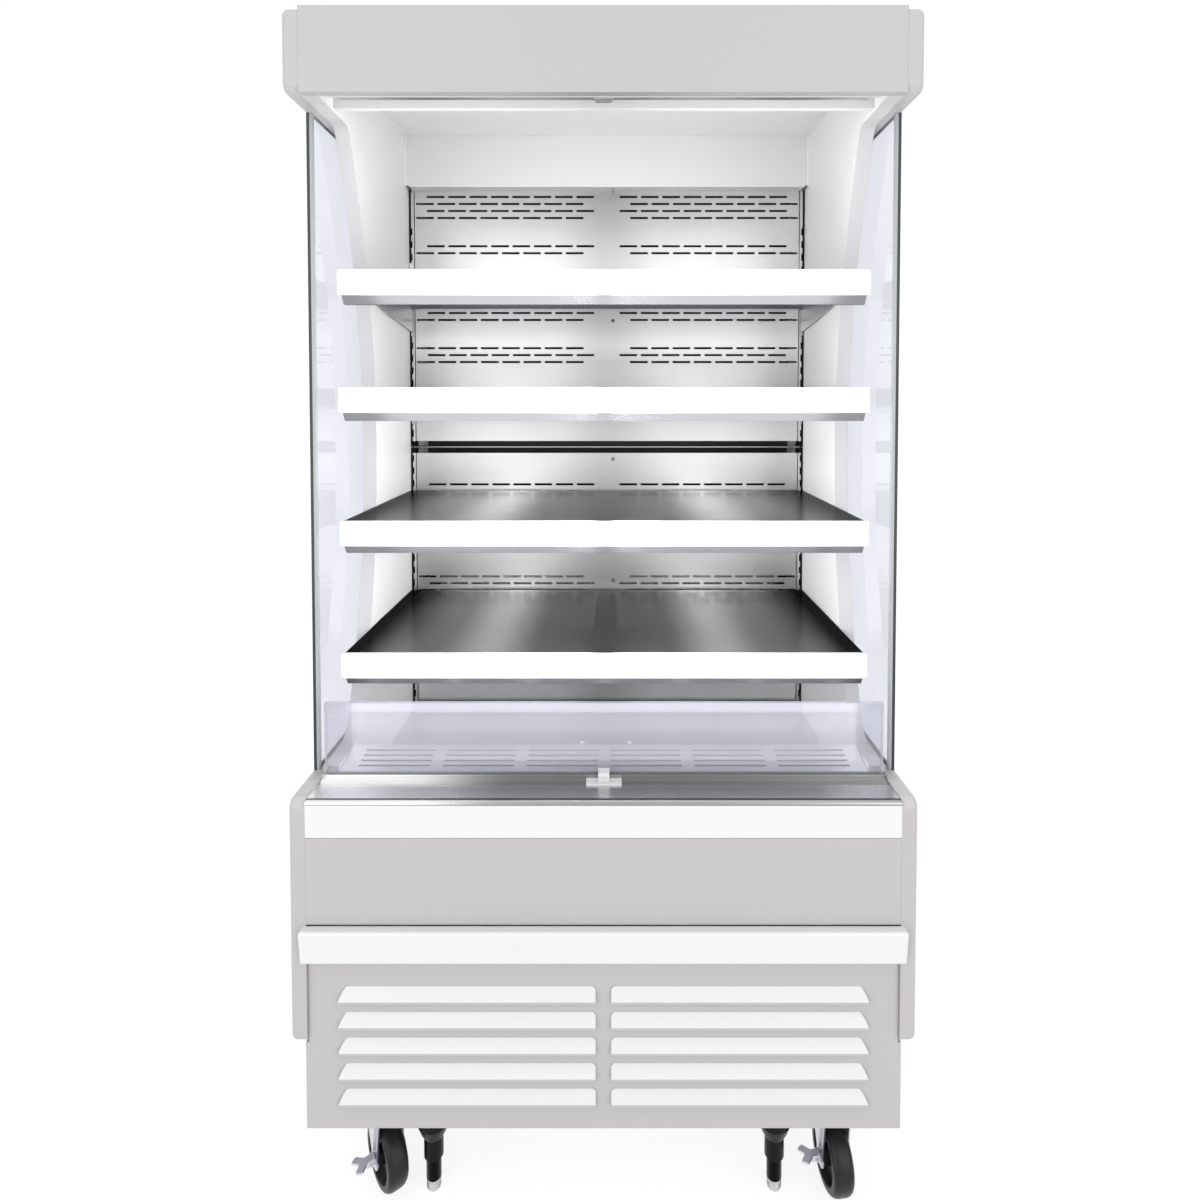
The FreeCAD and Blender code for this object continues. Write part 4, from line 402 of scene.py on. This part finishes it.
# Painted reflection: mild bands across the width of the brackets and deck.
painted_reflection_bands(panel_steel, ((0.0, 0.78), (0.30, 0.92), (0.62, 0.82), (1.0, 1.0)))
dress(panel_steel, "shelf_brackets", "deck_tray")

# Painted light and shade on the slotted back: each bay between two shelves is brightened or darkened by
# height, on top of painted reflection bands across the width, and the cut edges are painted dark.
BAY_PAINTED_LIGHT = ((0.68, 0.76, 1.55), (0.845, 0.815, 0.75), (0.97, 0.93, 1.33), (1.345, 1.290, 1.50),
             (1.470, 1.420, 0.70))
slotted_steel = brushed_steel("slotted_steel", SHEET_GREY, 0.40)
painted_reflection_bands(slotted_steel, ((0.0, 0.66), (0.30, 0.86), (0.62, 0.90), (1.0, 1.0)))
for full, none, gain in BAY_PAINTED_LIGHT:
    painted_light_gain(slotted_steel, full, none, gain, "Z")
shade_painted_on_cut_edges(slotted_steel)
dress(slotted_steel, "back_panel_upper", "back_panel_lower")

# Painted shade: the uprights are near black towards the walls and, with their cross rail, in the gap between
# the panels, where a thin painted highlight line along the rail is bright.
UPRIGHT_SHADE = 0.0045
RAIL_HIGHLIGHT_LINE = 0.0008
upright_steel = brushed_steel("upright_steel", SHEET_GREY, 0.36)
painted(upright_steel, (0.02, 0.02, 0.02), across=(INNER_X - UPRIGHT_SHADE, INNER_X))
split_low, split_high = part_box("back_panel_lower")[1].z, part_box("back_panel_upper")[0].z
split_middle = (split_low + split_high) / 2
painted(upright_steel, (0.012, 0.012, 0.012), z=(split_low, split_high))
painted(upright_steel, (0.40, 0.40, 0.40), z=(split_middle - RAIL_HIGHLIGHT_LINE, split_middle + RAIL_HIGHLIGHT_LINE))
dress(upright_steel, "shelf_uprights")

# Painted reflection: two pale bands across each tray's width; faces not looking up take a darker level,
# painted shade.
TRAY_GRAIN = (700.0, 3.0, 700.0)
TRAY_SIDE_SHADE = (0.30, 0.296, 0.32)
tray_steel = brushed_steel("tray_steel", (0.95, 0.95, 0.95), 0.24, TRAY_GRAIN)
painted_reflection_bands(tray_steel, ((0.0, 0.31), (0.24, 0.34), (0.46, 1.0), (0.66, 0.52), (0.97, 0.06)), TRAY_SIDE_SHADE)
set_metallic(tray_steel, 0.95)
dress(tray_steel, "shelf_tray_1", "shelf_tray_2", "shelf_tray_3", "shelf_tray_4")

# Painted light and shade on the ledge: its flat is painted bright, a painted highlight, behind a painted
# shadow line near its front edge, and its left end is brightened most, a painted reflection.
LEDGE_SHADE_LINE, LEDGE_FLAT, LEDGE_REAR = 0.004, 0.008, 0.047
ledge_steel = brushed_steel("ledge_steel", (0.36, 0.36, 0.36), 0.28)
ledge_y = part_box("front_ledge")[0].y
painted(ledge_steel, (0.62, 0.62, 0.62), y=(ledge_y + LEDGE_FLAT, ledge_y + LEDGE_REAR))
painted(ledge_steel, (0.10, 0.10, 0.10), y=(ledge_y + LEDGE_SHADE_LINE, ledge_y + LEDGE_FLAT))
painted_light_gain(ledge_steel, -0.30, -0.14, 1.9)
dress(ledge_steel, "front_ledge")

grille_steel = brushed_steel("grille_steel", (0.92, 0.92, 0.93), 0.34)
set_metallic(grille_steel, 0.7)
dress(grille_steel, "return_grille")


def mesh_of(name, points, faces, smooth_angle=40.0):
    """Mesh from points and faces, smooth up to an angle in degrees."""
    mesh = bpy.data.meshes.new(name)
    mesh.from_pydata(points, [], faces)
    mesh.shade_smooth()
    mesh.set_sharp_from_angle(angle=math.radians(smooth_angle))
    return mesh


def rings_joined(name, rings, smooth_angle=40.0):
    """Closed skin over rings of equally many points, capped at both ends."""
    steps = len(rings[0])
    points = [point for ring in rings for point in ring]
    faces = []
    for k in range(len(rings) - 1):
        for i in range(steps):
            j = (i + 1) % steps
            faces.append((k * steps + i, k * steps + j, (k + 1) * steps + j, (k + 1) * steps + i))
    faces.append(tuple(range(steps))[::-1])
    faces.append(tuple(range((len(rings) - 1) * steps, len(rings) * steps)))
    return mesh_of(name, points, faces, smooth_angle)


def turned(name, profile, steps=32):
    """Solid turned about Z from (radius, height) pairs, lowest first."""
    rings = [[(r * math.cos(2 * math.pi * i / steps), r * math.sin(2 * math.pi * i / steps), h)
              for i in range(steps)] for r, h in profile]
    return rings_joined(name, rings)


def screw_head(name, radius, height):
    """Pan head with a cross recess, its seat at z 0 and its top along +Z."""
    rings = []
    for share, rise in ((1.0, 0.0), (1.0, 0.35), (0.93, 0.7), (0.8, 0.9), (0.62, 1.0), (0.6, 1.0),
                        (0.42, 1.0), (0.24, 1.0), (0.08, 1.0)):
        ring = []
        for i in range(40):
            turn = 2 * math.pi * (i + 0.5) / 40
            x, y = share * math.cos(turn), share * math.sin(turn)
            sunk = 0.65 if share < 0.61 and min(abs(x), abs(y)) < 0.17 else 0.0
            ring.append((x * radius, y * radius, (rise - sunk) * height))
        rings.append(ring)
    return rings_joined(name, rings, 25.0)


# Geometry nodes: one item on every given point, each copy turned a little by a fixed seed.
copies = bpy.data.node_groups.new("item_on_points", "GeometryNodeTree")
for label, kind in (("Points", "NodeSocketGeometry"), ("Item", "NodeSocketObject"),
                    ("Finish", "NodeSocketMaterial"), ("Turn", "NodeSocketVector"),
                    ("Seed", "NodeSocketInt")):
    copies.interface.new_socket(label, in_out="INPUT", socket_type=kind)
copies.interface.new_socket("Mesh", in_out="OUTPUT", socket_type="NodeSocketGeometry")
given = copies.nodes.new("NodeGroupInput")
result = copies.nodes.new("NodeGroupOutput")
item_info = copies.nodes.new("GeometryNodeObjectInfo")
least = copies.nodes.new("ShaderNodeVectorMath")
least.operation = "SCALE"
least.inputs["Scale"].default_value = -1.0
chance = copies.nodes.new("FunctionNodeRandomValue")
chance.data_type = "FLOAT_VECTOR"
spread = copies.nodes.new("GeometryNodeInstanceOnPoints")
realized = copies.nodes.new("GeometryNodeRealizeInstances")
finished = copies.nodes.new("GeometryNodeSetMaterial")
for source, socket in ((given.outputs["Item"], item_info.inputs["Object"]),
                       (given.outputs["Turn"], least.inputs[0]),
                       (least.outputs["Vector"], chance.inputs["Min"]),
                       (given.outputs["Turn"], chance.inputs["Max"]),
                       (given.outputs["Seed"], chance.inputs["Seed"]),
                       (given.outputs["Points"], spread.inputs["Points"]),
                       (item_info.outputs["Geometry"], spread.inputs["Instance"]),
                       (chance.outputs["Value"], spread.inputs["Rotation"]),
                       (spread.outputs["Instances"], realized.inputs["Geometry"]),
                       (realized.outputs["Geometry"], finished.inputs["Geometry"]),
                       (given.outputs["Finish"], finished.inputs["Material"]),
                       (finished.outputs["Geometry"], result.inputs["Mesh"])):
    copies.links.new(source, socket)


def on_points(name, item, finish, points, body="cabinet", turn=(0.0, 0.0, 0.0)):
    """One plain mesh of the item at each point, riding on a body."""
    sample = linked(item, name + "_item")
    carrier_mesh = bpy.data.meshes.new(name + "_points")
    carrier_mesh.from_pydata(points, [], [])
    carrier = linked(carrier_mesh, name + "_points")
    maker = carrier.modifiers.new("copies", "NODES")
    maker.node_group = copies
    values = {"Item": sample, "Finish": finish, "Turn": turn, "Seed": 7}
    for socket in copies.interface.items_tree:
        if socket.name in values:
            maker[socket.identifier] = values[socket.name]
    made = carrier.evaluated_get(bpy.context.evaluated_depsgraph_get())
    mesh = bpy.data.meshes.new_from_object(made)
    mesh.name = name
    bpy.data.objects.remove(carrier)
    bpy.data.objects.remove(sample)
    obj = linked(mesh, name)
    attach(obj, body)
    return obj


def facing(mesh, axis, degrees):
    """The mesh turned about one axis through the origin."""
    mesh.transform(Matrix.Rotation(math.radians(degrees), 4, axis))
    return mesh


# Pan-head screws that hold the panels in the middle, and two in the deck's floor.
MIDDLE_X = 0.0128
PANEL_SCREW_HEIGHTS = (1.383, 1.093, 0.836)
DECK_FLOOR = 0.560
DECK_SCREW_X, DECK_SCREW_Y = 0.045, 0.007
screw_steel = brushed_steel("screw_steel", (0.30, 0.30, 0.31), 0.25)
bright_screw = brushed_steel("bright_screw", (0.95, 0.95, 0.95), 0.30)
set_metallic(bright_screw, 0.4)
panel_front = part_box("back_panel_upper")[0].y
on_points("panel_screws", facing(screw_head("panel_screw", 0.0040, 0.0022), "X", 90), screw_steel,
          [(MIDDLE_X, panel_front, z) for z in PANEL_SCREW_HEIGHTS], turn=(0.0, 0.6, 0.0))
on_points("deck_screws", screw_head("deck_screw", 0.0055, 0.0024), bright_screw,
          [(-DECK_SCREW_X, DECK_SCREW_Y, DECK_FLOOR), (DECK_SCREW_X, DECK_SCREW_Y, DECK_FLOOR)],
          turn=(0.0, 0.0, 0.6))

# ---- Sealed joints and small fittings of the interior -------------------------------
# A pale bead of sealant runs where the ceiling and the top cover meet the walls. A clip
# sits at the top of the left upright and a small wire hook under the middle of the cover.


def wire(name, points, radius, sides=12):
    """Round wire through the points, with flat ends."""
    path = [Vector(point) for point in points]
    rings = []
    for i, here in enumerate(path):
        way = (path[min(i + 1, len(path) - 1)] - path[max(i - 1, 0)]).normalized()
        aside = way.orthogonal() if i == 0 else (aside - way * aside.dot(way))
        aside.normalize()
        third = way.cross(aside)
        rings.append([tuple(here + (aside * math.cos(2 * math.pi * k / sides)
                                    + third * math.sin(2 * math.pi * k / sides)) * radius)
                      for k in range(sides)])
    return rings_joined(name, rings)


def satin(name, colour, roughness, metallic=0.0, grain=300.0, depth=0.0002, specular=0.5):
    """Plain moulded or coated finish with a fine grain and softened edges."""
    material, add, shader = new_material(name)
    place = add("ShaderNodeTexCoord").outputs["Object"]
    fine = add("ShaderNodeTexNoise", {"Vector": place}, Scale=grain, Detail=3.0)
    mix = add("ShaderNodeMix", {"Factor": fine.outputs["Fac"]}, data_type="RGBA")
    mix.inputs[6].default_value = tuple(c * 0.88 for c in colour) + (1.0,)
    mix.inputs[7].default_value = tuple(min(c * 1.10, 1.0) for c in colour) + (1.0,)
    join_up(material, mix.outputs[2], shader.inputs["Base Color"])
    shader.inputs["Metallic"].default_value = metallic
    shader.inputs["Roughness"].default_value = roughness
    shader.inputs["Specular IOR Level"].default_value = specular
    edge = add("ShaderNodeBevel", samples=4, Radius=0.0006)
    bump = add("ShaderNodeBump", {"Height": fine.outputs["Fac"], "Normal": edge.outputs["Normal"]},
               Strength=0.2, Distance=depth)
    join_up(material, bump.outputs["Normal"], shader.inputs["Normal"])
    return material


sealant = satin("sealant", (0.90, 0.90, 0.90), 0.35)
cover_low, cover_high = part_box("top_cover")
soffit_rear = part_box("soffit")[1].y
BEAD_R = 0.0022
bead_x = cover_high.x - BEAD_R / 2
bead_y, bead_z = cover_low.y - BEAD_R / 3, cover_high.z - BEAD_R / 2
for side, sign in (("left", -1), ("right", 1)):
    x = sign * bead_x
    route = [(x, soffit_rear + 0.002, bead_z), (x, cover_low.y - BEAD_R, bead_z),
             (x, bead_y, cover_high.z - 2 * BEAD_R), (x, bead_y, cover_low.z + 0.002)]
    bead = linked(wire("sealant_bead", route, BEAD_R), "sealant_bead_" + side)
    bead.data.materials.append(sealant)
    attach(bead, "cabinet")

CLIP_HALF = 0.004
CLIP_BOTTOM, CLIP_TOP = 1.487, 1.502
upright_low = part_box("shelf_uprights")[0]
clip_plastic = satin("clip_plastic", (0.85, 0.85, 0.84), 0.4)
clip_x = upright_low.x + 0.005
clip_rings = []
for proud, inset in ((0.0002, 0.0), (0.0045, 0.0), (0.006, 0.0012)):
    left, right = clip_x - CLIP_HALF + inset, clip_x + CLIP_HALF - inset
    bottom, top, y = CLIP_BOTTOM + inset, CLIP_TOP - inset, upright_low.y - proud
    clip_rings.append([(left, y, bottom), (right, y, bottom), (right, y, top), (left, y, top)])
clip = linked(rings_joined("upright_clip", clip_rings), "upright_clip")
clip.data.materials.append(clip_plastic)
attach(clip, "cabinet")

HOOK_R = 0.0011
hook_y = cover_low.y + 0.012
hook_steps = ((0.0, 0.001), (0.0, -0.006), (-0.003, -0.010), (-0.007, -0.0105), (-0.010, -0.007))
hook_route = [(MIDDLE_X, hook_y + dy, cover_low.z + dz) for dy, dz in hook_steps]
hook = linked(wire("cover_hook", hook_route, HOOK_R), "cover_hook")
hook.data.materials.append(screw_steel)
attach(hook, "cabinet")

# ---- Glass --------------------------------------------------------------------------
# Tempered side panes and the low riser pane at the front, clear with a cool cast. The
# riser's ground top rim and ends are bright.


def pane_glass(name, tint, haze):
    """Thin clear pane: see-through with a tint, and a mirror share that grows at a slant."""
    material, add, shader = new_material(name)
    place = add("ShaderNodeTexCoord").outputs["Object"]
    smear = add("ShaderNodeTexNoise", {"Vector": place}, Scale=3.0, Detail=3.0)
    shader.inputs["Base Color"].default_value = (0.42, 0.43, 0.48, 1.0)
    shader.inputs["Roughness"].default_value = 0.06
    clear = add("ShaderNodeBsdfTransparent", Color=tint)
    mirror = add("ShaderNodeBsdfGlossy", Color=(0.95, 0.96, 1.0, 1.0), Roughness=0.03)
    fresnel = add("ShaderNodeFresnel", IOR=1.5)
    way = add("ShaderNodeNewGeometry")
    outer = add("ShaderNodeMath", {1: way.outputs["Backfacing"]}, operation="SUBTRACT")
    outer.inputs[0].default_value = 1.0
    share = add("ShaderNodeMath", {0: fresnel.outputs["Fac"], 1: outer.outputs["Value"]},
                operation="MULTIPLY")
    both = add("ShaderNodeMixShader", {0: share.outputs["Value"], 1: clear.outputs["BSDF"],
                                       2: mirror.outputs["BSDF"]})
    veil = add("ShaderNodeMapRange", {"Value": smear.outputs["Fac"]})
    veil.name = "veil"
    veil.inputs["To Min"].default_value = haze * 0.8
    veil.inputs["To Max"].default_value = haze * 1.2
    hazed = add("ShaderNodeMixShader", {0: veil.outputs["Result"], 1: both.outputs["Shader"],
                                        2: shader.outputs["BSDF"]})
    hazed.name = "hazed"
    join_up(material, hazed.outputs["Shader"], material.node_tree.nodes["Material Output"].inputs["Surface"])
    return material


side_pane = pane_glass("side_pane", (0.930, 0.936, 0.972, 1.0), 0.03)
riser_pane = pane_glass("riser_pane", (0.90, 0.90, 0.93, 1.0), 0.17)
RIM_LEVEL, END_LEVEL = 0.40, 0.50
riser_tree = riser_pane.node_tree
riser_place = axes_of(riser_tree)
riser_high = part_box("riser_glass")[1]
rim = faded(riser_tree, riser_place["Z"], (riser_high.z - 0.0145, riser_high.z - 0.0135), (0.0, RIM_LEVEL))
ends = faded(riser_tree, computed(riser_tree, "ABSOLUTE", riser_place["X"]),
             (riser_high.x - 0.0030, riser_high.x - 0.0020), (0.0, END_LEVEL))
ground = computed(riser_tree, "MAXIMUM", rim, ends)
veil = riser_tree.nodes["veil"].outputs["Result"]
feed(riser_tree, riser_tree.nodes["hazed"].inputs[0], computed(riser_tree, "MAXIMUM", ground, veil))
dress(side_pane, "side_glass")
dress(riser_pane, "riser_glass")

# ---- Glazing trims -----------------------------------------------------------------
# Channel pressed on the front edge of each side pane, black outside and grey within.

trim_black = satin("trim_black", (0.012, 0.012, 0.014), 0.35)
TRIM_BLACK_W = 0.0046
TRIM_GREY = (0.30, 0.32, 0.33)
painted(trim_black, TRIM_GREY, across=(0.0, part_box("glass_trims")[1].x - TRIM_BLACK_W))
dress(trim_black, "glass_trims")

# ---- Casters ------------------------------------------------------------------------
# Zinc-plated fork, plate and pedal, black rubber tyre. Four hex bolts hold each plate
# to the chassis, and a hex nut sits on each axle.

zinc = satin("zinc", (0.66, 0.65, 0.70), 0.28, 1.0, 120.0)
wheel_rubber = satin("wheel_rubber", (0.011, 0.011, 0.012), 0.36, specular=0.25)
CORNERS = {"front_left": 38.0, "front_right": 7.0, "rear_left": -20.0, "rear_right": 25.0}
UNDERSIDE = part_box("base_frame")[0].z
PLATE_T = 0.003
KING_INSET_X, KING_INSET_Y = 0.0475, 0.036
BOLT_X, BOLT_Y = 0.0365, 0.025
AXLE_Z, TRAIL, NUT_SEAT_X = 0.050, 0.024, 0.0216
plates_low, plates_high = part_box("caster_plates")
BOLT_PROFILE = [(0.0065, 0.0), (0.0078, 0.0008), (0.0078, 0.0045), (0.0068, 0.0055)]
NUT_PROFILE = [(0.0070, 0.0), (0.0078, 0.0006), (0.0078, 0.0048), (0.0070, 0.0054)]
bolt_head = facing(turned("bolt_head", BOLT_PROFILE, 6), "X", 180)
king_x = plates_high.x - KING_INSET_X
for row, king_y in (("front", plates_low.y + KING_INSET_Y), ("rear", plates_high.y - KING_INSET_Y)):
    for side, sign in (("left", -1), ("right", 1)):
        corner = row + "_" + side
        spots = [(sign * king_x + dx, king_y + dy, UNDERSIDE - PLATE_T) for dx in (-BOLT_X, BOLT_X)
                 for dy in (-BOLT_Y, BOLT_Y)]
        on_points("plate_bolts_" + corner, bolt_head.copy(), zinc, spots, turn=(0.0, 0.0, 0.5))
        nut = turned("axle_nut", NUT_PROFILE, 6)
        nut.transform(Matrix.Translation((sign * king_x, king_y, 0.0))
                      @ Matrix.Rotation(math.radians(CORNERS[corner]), 4, "Z")
                      @ Matrix.Translation((NUT_SEAT_X, -TRAIL, AXLE_Z))
                      @ Matrix.Rotation(math.pi / 2, 4, "Y"))
        nut.materials.append(zinc)
        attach(linked(nut, "axle_nut_" + corner), "caster_" + corner)
for corner in CORNERS:
    dress(zinc, "caster_fork_" + corner)
    dress(wheel_rubber, "caster_wheel_" + corner)
dress(zinc, "caster_plates", "brake_lever_front_left", "brake_lever_front_right")

# ---- Levelling legs --------------------------------------------------------------------
# Glossy black flared socket, black adjuster in it and a ribbed plated tip.

leg_black = satin("leg_black", (0.004, 0.004, 0.005), 0.16, specular=0.12)
foot_finish = satin("foot_steel", (0.60, 0.60, 0.61), 0.28, 1.0)
TIP_H = 0.0157
RIB_FIRST, RIB_PITCH, RIB_COUNT = 0.0035, 0.0026, 4
RIB_PROFILE = [(0.0104, -0.0009), (0.0110, -0.0004), (0.0110, 0.0004), (0.0104, 0.0009)]
painted(foot_finish, (0.006, 0.006, 0.007), z=(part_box("foot_front_left")[0].z + TIP_H, 1.0))
dress(leg_black, "leg_sockets")
for corner in CORNERS:
    dress(foot_finish, "foot_" + corner)
    low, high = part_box("foot_" + corner)
    on_points("foot_ribs_" + corner, turned("foot_rib", RIB_PROFILE, 40), foot_finish,
              [((low.x + high.x) / 2, (low.y + high.y) / 2, low.z + RIB_FIRST + RIB_PITCH * i)
               for i in range(RIB_COUNT)], body="leveller_" + corner)

# ---- Condensing unit ----------------------------------------------------------------------
# Finned core with copper bends in a sheet shroud, black fan and compressor, drain pan
# and control box on the chassis floor.

fin_aluminium = brushed_steel("fin_aluminium", (0.75, 0.75, 0.76), 0.4, (600.0, 3.0, 3.0))
shroud_sheet = satin("shroud_sheet", (0.30, 0.30, 0.31), 0.45, 0.6)
black_enamel = satin("black_enamel", (0.012, 0.012, 0.012), 0.22)
pan_plastic = satin("pan_plastic", (0.22, 0.22, 0.23), 0.5)
COPPER = (0.75, 0.30, 0.17)
condenser_finish = brushed_steel("condenser_finish", (0.72, 0.72, 0.73), 0.4, (600.0, 3.0, 3.0))
coil_low, coil_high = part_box("condenser_coil")
shroud_high_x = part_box("condenser_shroud")[1].x
painted(condenser_finish, COPPER, x=(shroud_high_x, 1.0))
dress(condenser_finish, "condenser_coil")
dress(shroud_sheet, "condenser_shroud", "evaporator_fan_plate")
dress(black_enamel, "compressor", "condenser_fan", "evaporator_fan_left", "evaporator_fan_right")
dress(pan_plastic, "drain_pan", "control_box")


def fin(name, thickness, depth, height):
    """Thin plate centred on the origin, its edges a little narrower."""
    rings = [[(x, -depth / 2 + inset, -height / 2), (x, depth / 2 - inset, -height / 2),
              (x, depth / 2 - inset, height / 2), (x, -depth / 2 + inset, height / 2)]
             for x, inset in ((-thickness / 2, thickness), (0.0, 0.0), (thickness / 2, thickness))]
    return rings_joined(name, rings)


FIN_PITCH, FIN_T, FIN_PROUD = 0.003, 0.0004, 0.001
core_x = (coil_low.x + 0.006, shroud_high_x - 0.006)
fin_count = int((core_x[1] - core_x[0]) / FIN_PITCH)
on_points("condenser_fins", fin("condenser_fin", FIN_T, coil_high.y - coil_low.y + 2 * FIN_PROUD,
                                coil_high.z - coil_low.z - 0.018), fin_aluminium,
          [(core_x[0] + FIN_PITCH * i, (coil_low.y + coil_high.y) / 2, (coil_low.z + coil_high.z) / 2)
           for i in range(fin_count)])

# ---- Evaporator -------------------------------------------------------------------------
# Finned core above the fan plate in the rear duct, with copper bends at its right end.

evaporator_finish = brushed_steel("evaporator_finish", (0.72, 0.72, 0.73), 0.4, (600.0, 3.0, 3.0))
evap_low, evap_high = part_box("evaporator_coil")
painted(evaporator_finish, COPPER, x=(-evap_low.x + 0.0004, 1.0))
dress(evaporator_finish, "evaporator_coil")
EVAP_PITCH = 0.006
EVAP_CORE_H, EVAP_FIN_H = 0.250, 0.246
evap_core_low = evap_high.z - EVAP_CORE_H
evap_count = int((2 * -evap_low.x - 0.012) / EVAP_PITCH)
evap_fin = fin("evaporator_fin", FIN_T, evap_high.y - evap_low.y + 2 * FIN_PROUD, EVAP_FIN_H)
evap_y, evap_z = (evap_low.y + evap_high.y) / 2, (evap_high.z + evap_core_low) / 2
on_points("evaporator_fins", evap_fin, fin_aluminium,
          [(evap_low.x + 0.007 + EVAP_PITCH * i, evap_y, evap_z)
           for i in range(evap_count)])

# ---- Rear grille screws ----------------------------------------------------------------
# Pan heads around the vented sheet at the back of the machine space.

GRILLE_SCREW_COLUMNS = (-0.426, -0.142, 0.142, 0.426)
grille_low, grille_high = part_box("rear_grille")
on_points("rear_grille_screws", facing(screw_head("rear_screw", 0.0042, 0.0024), "X", -90), screw_steel,
          [(x, grille_high.y, z) for x in GRILLE_SCREW_COLUMNS
           for z in (grille_low.z + 0.010, grille_high.z - 0.008)], turn=(0.0, 0.6, 0.0))

# ---- Night curtain ---------------------------------------------------------------------
# Aluminium cassette and pull bar. The woven cloth leaves the spring roller, which holds
# the rest of its length, and is hemmed at both sides.

curtain_aluminium = brushed_steel("curtain_aluminium", (0.62, 0.62, 0.63), 0.35)
cloth_finish, add, shader = new_material("curtain_cloth")
place = add("ShaderNodeTexCoord").outputs["Object"]
THREADS = 420.0
warp = add("ShaderNodeTexWave", {"Vector": place}, wave_type="BANDS", bands_direction="X", Scale=THREADS)
weft = add("ShaderNodeTexWave", {"Vector": place}, wave_type="BANDS", bands_direction="Z", Scale=THREADS)
weave = add("ShaderNodeMath", {0: warp.outputs["Fac"], 1: weft.outputs["Fac"]}, operation="MULTIPLY")
tone = add("ShaderNodeMix", {"Factor": weave.outputs["Value"]}, data_type="RGBA")
tone.inputs[6].default_value = (0.30, 0.305, 0.32, 1.0)
tone.inputs[7].default_value = (0.50, 0.50, 0.51, 1.0)
join_up(cloth_finish, tone.outputs[2], shader.inputs["Base Color"])
shader.inputs["Roughness"].default_value = 0.85
bump = add("ShaderNodeBump", {"Height": weave.outputs["Value"]}, Strength=0.4, Distance=0.0003)
join_up(cloth_finish, bump.outputs["Normal"], shader.inputs["Normal"])
dress(curtain_aluminium, "curtain_cassette", "curtain_bar")
dress(cloth_finish, "curtain_roller")

CLOTH_COLUMNS, CLOTH_ROWS = 96, 24
HEM_W, HEM_HALF_T, CLOTH_HALF_T = 0.012, 0.0003, 0.00018
sheet_low, sheet_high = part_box("curtain_sheet")
roller_low, roller_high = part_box("curtain_roller")
roll_z = (roller_low.z + roller_high.z) / 2
cloth_y = (sheet_low.y + sheet_high.y) / 2
points = []
for away in (-1, 1):
    for row in range(CLOTH_ROWS + 1):
        for column in range(CLOTH_COLUMNS + 1):
            x = sheet_low.x + (sheet_high.x - sheet_low.x) * column / CLOTH_COLUMNS
            half_t = HEM_HALF_T if abs(x) > sheet_high.x - HEM_W else CLOTH_HALF_T
            points.append((x, cloth_y + away * half_t,
                           sheet_low.z + (roll_z - sheet_low.z) * row / CLOTH_ROWS))
wide = CLOTH_COLUMNS + 1
layer = wide * (CLOTH_ROWS + 1)
faces = []
for row in range(CLOTH_ROWS):
    for column in range(CLOTH_COLUMNS):
        a = row * wide + column
        faces.append((a, a + 1, a + 1 + wide, a + wide))
        faces.append((layer + a + wide, layer + a + 1 + wide, layer + a + 1, layer + a))
for row in range(CLOTH_ROWS):
    a, b = row * wide, row * wide + CLOTH_COLUMNS
    faces.append((a, a + wide, layer + a + wide, layer + a))
    faces.append((b + wide, b, layer + b, layer + b + wide))
for column in range(CLOTH_COLUMNS):
    a, b = column, CLOTH_ROWS * wide + column
    faces.append((a + 1, a, layer + a, layer + a + 1))
    faces.append((b, b + 1, layer + b + 1, layer + b))
cloth_mesh = mesh_of("curtain_cloth", points, faces)
cloth_mesh.materials.append(cloth_finish)
cloth = linked(cloth_mesh, "curtain_cloth")
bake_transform(cloth)
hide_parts("curtain_sheet")
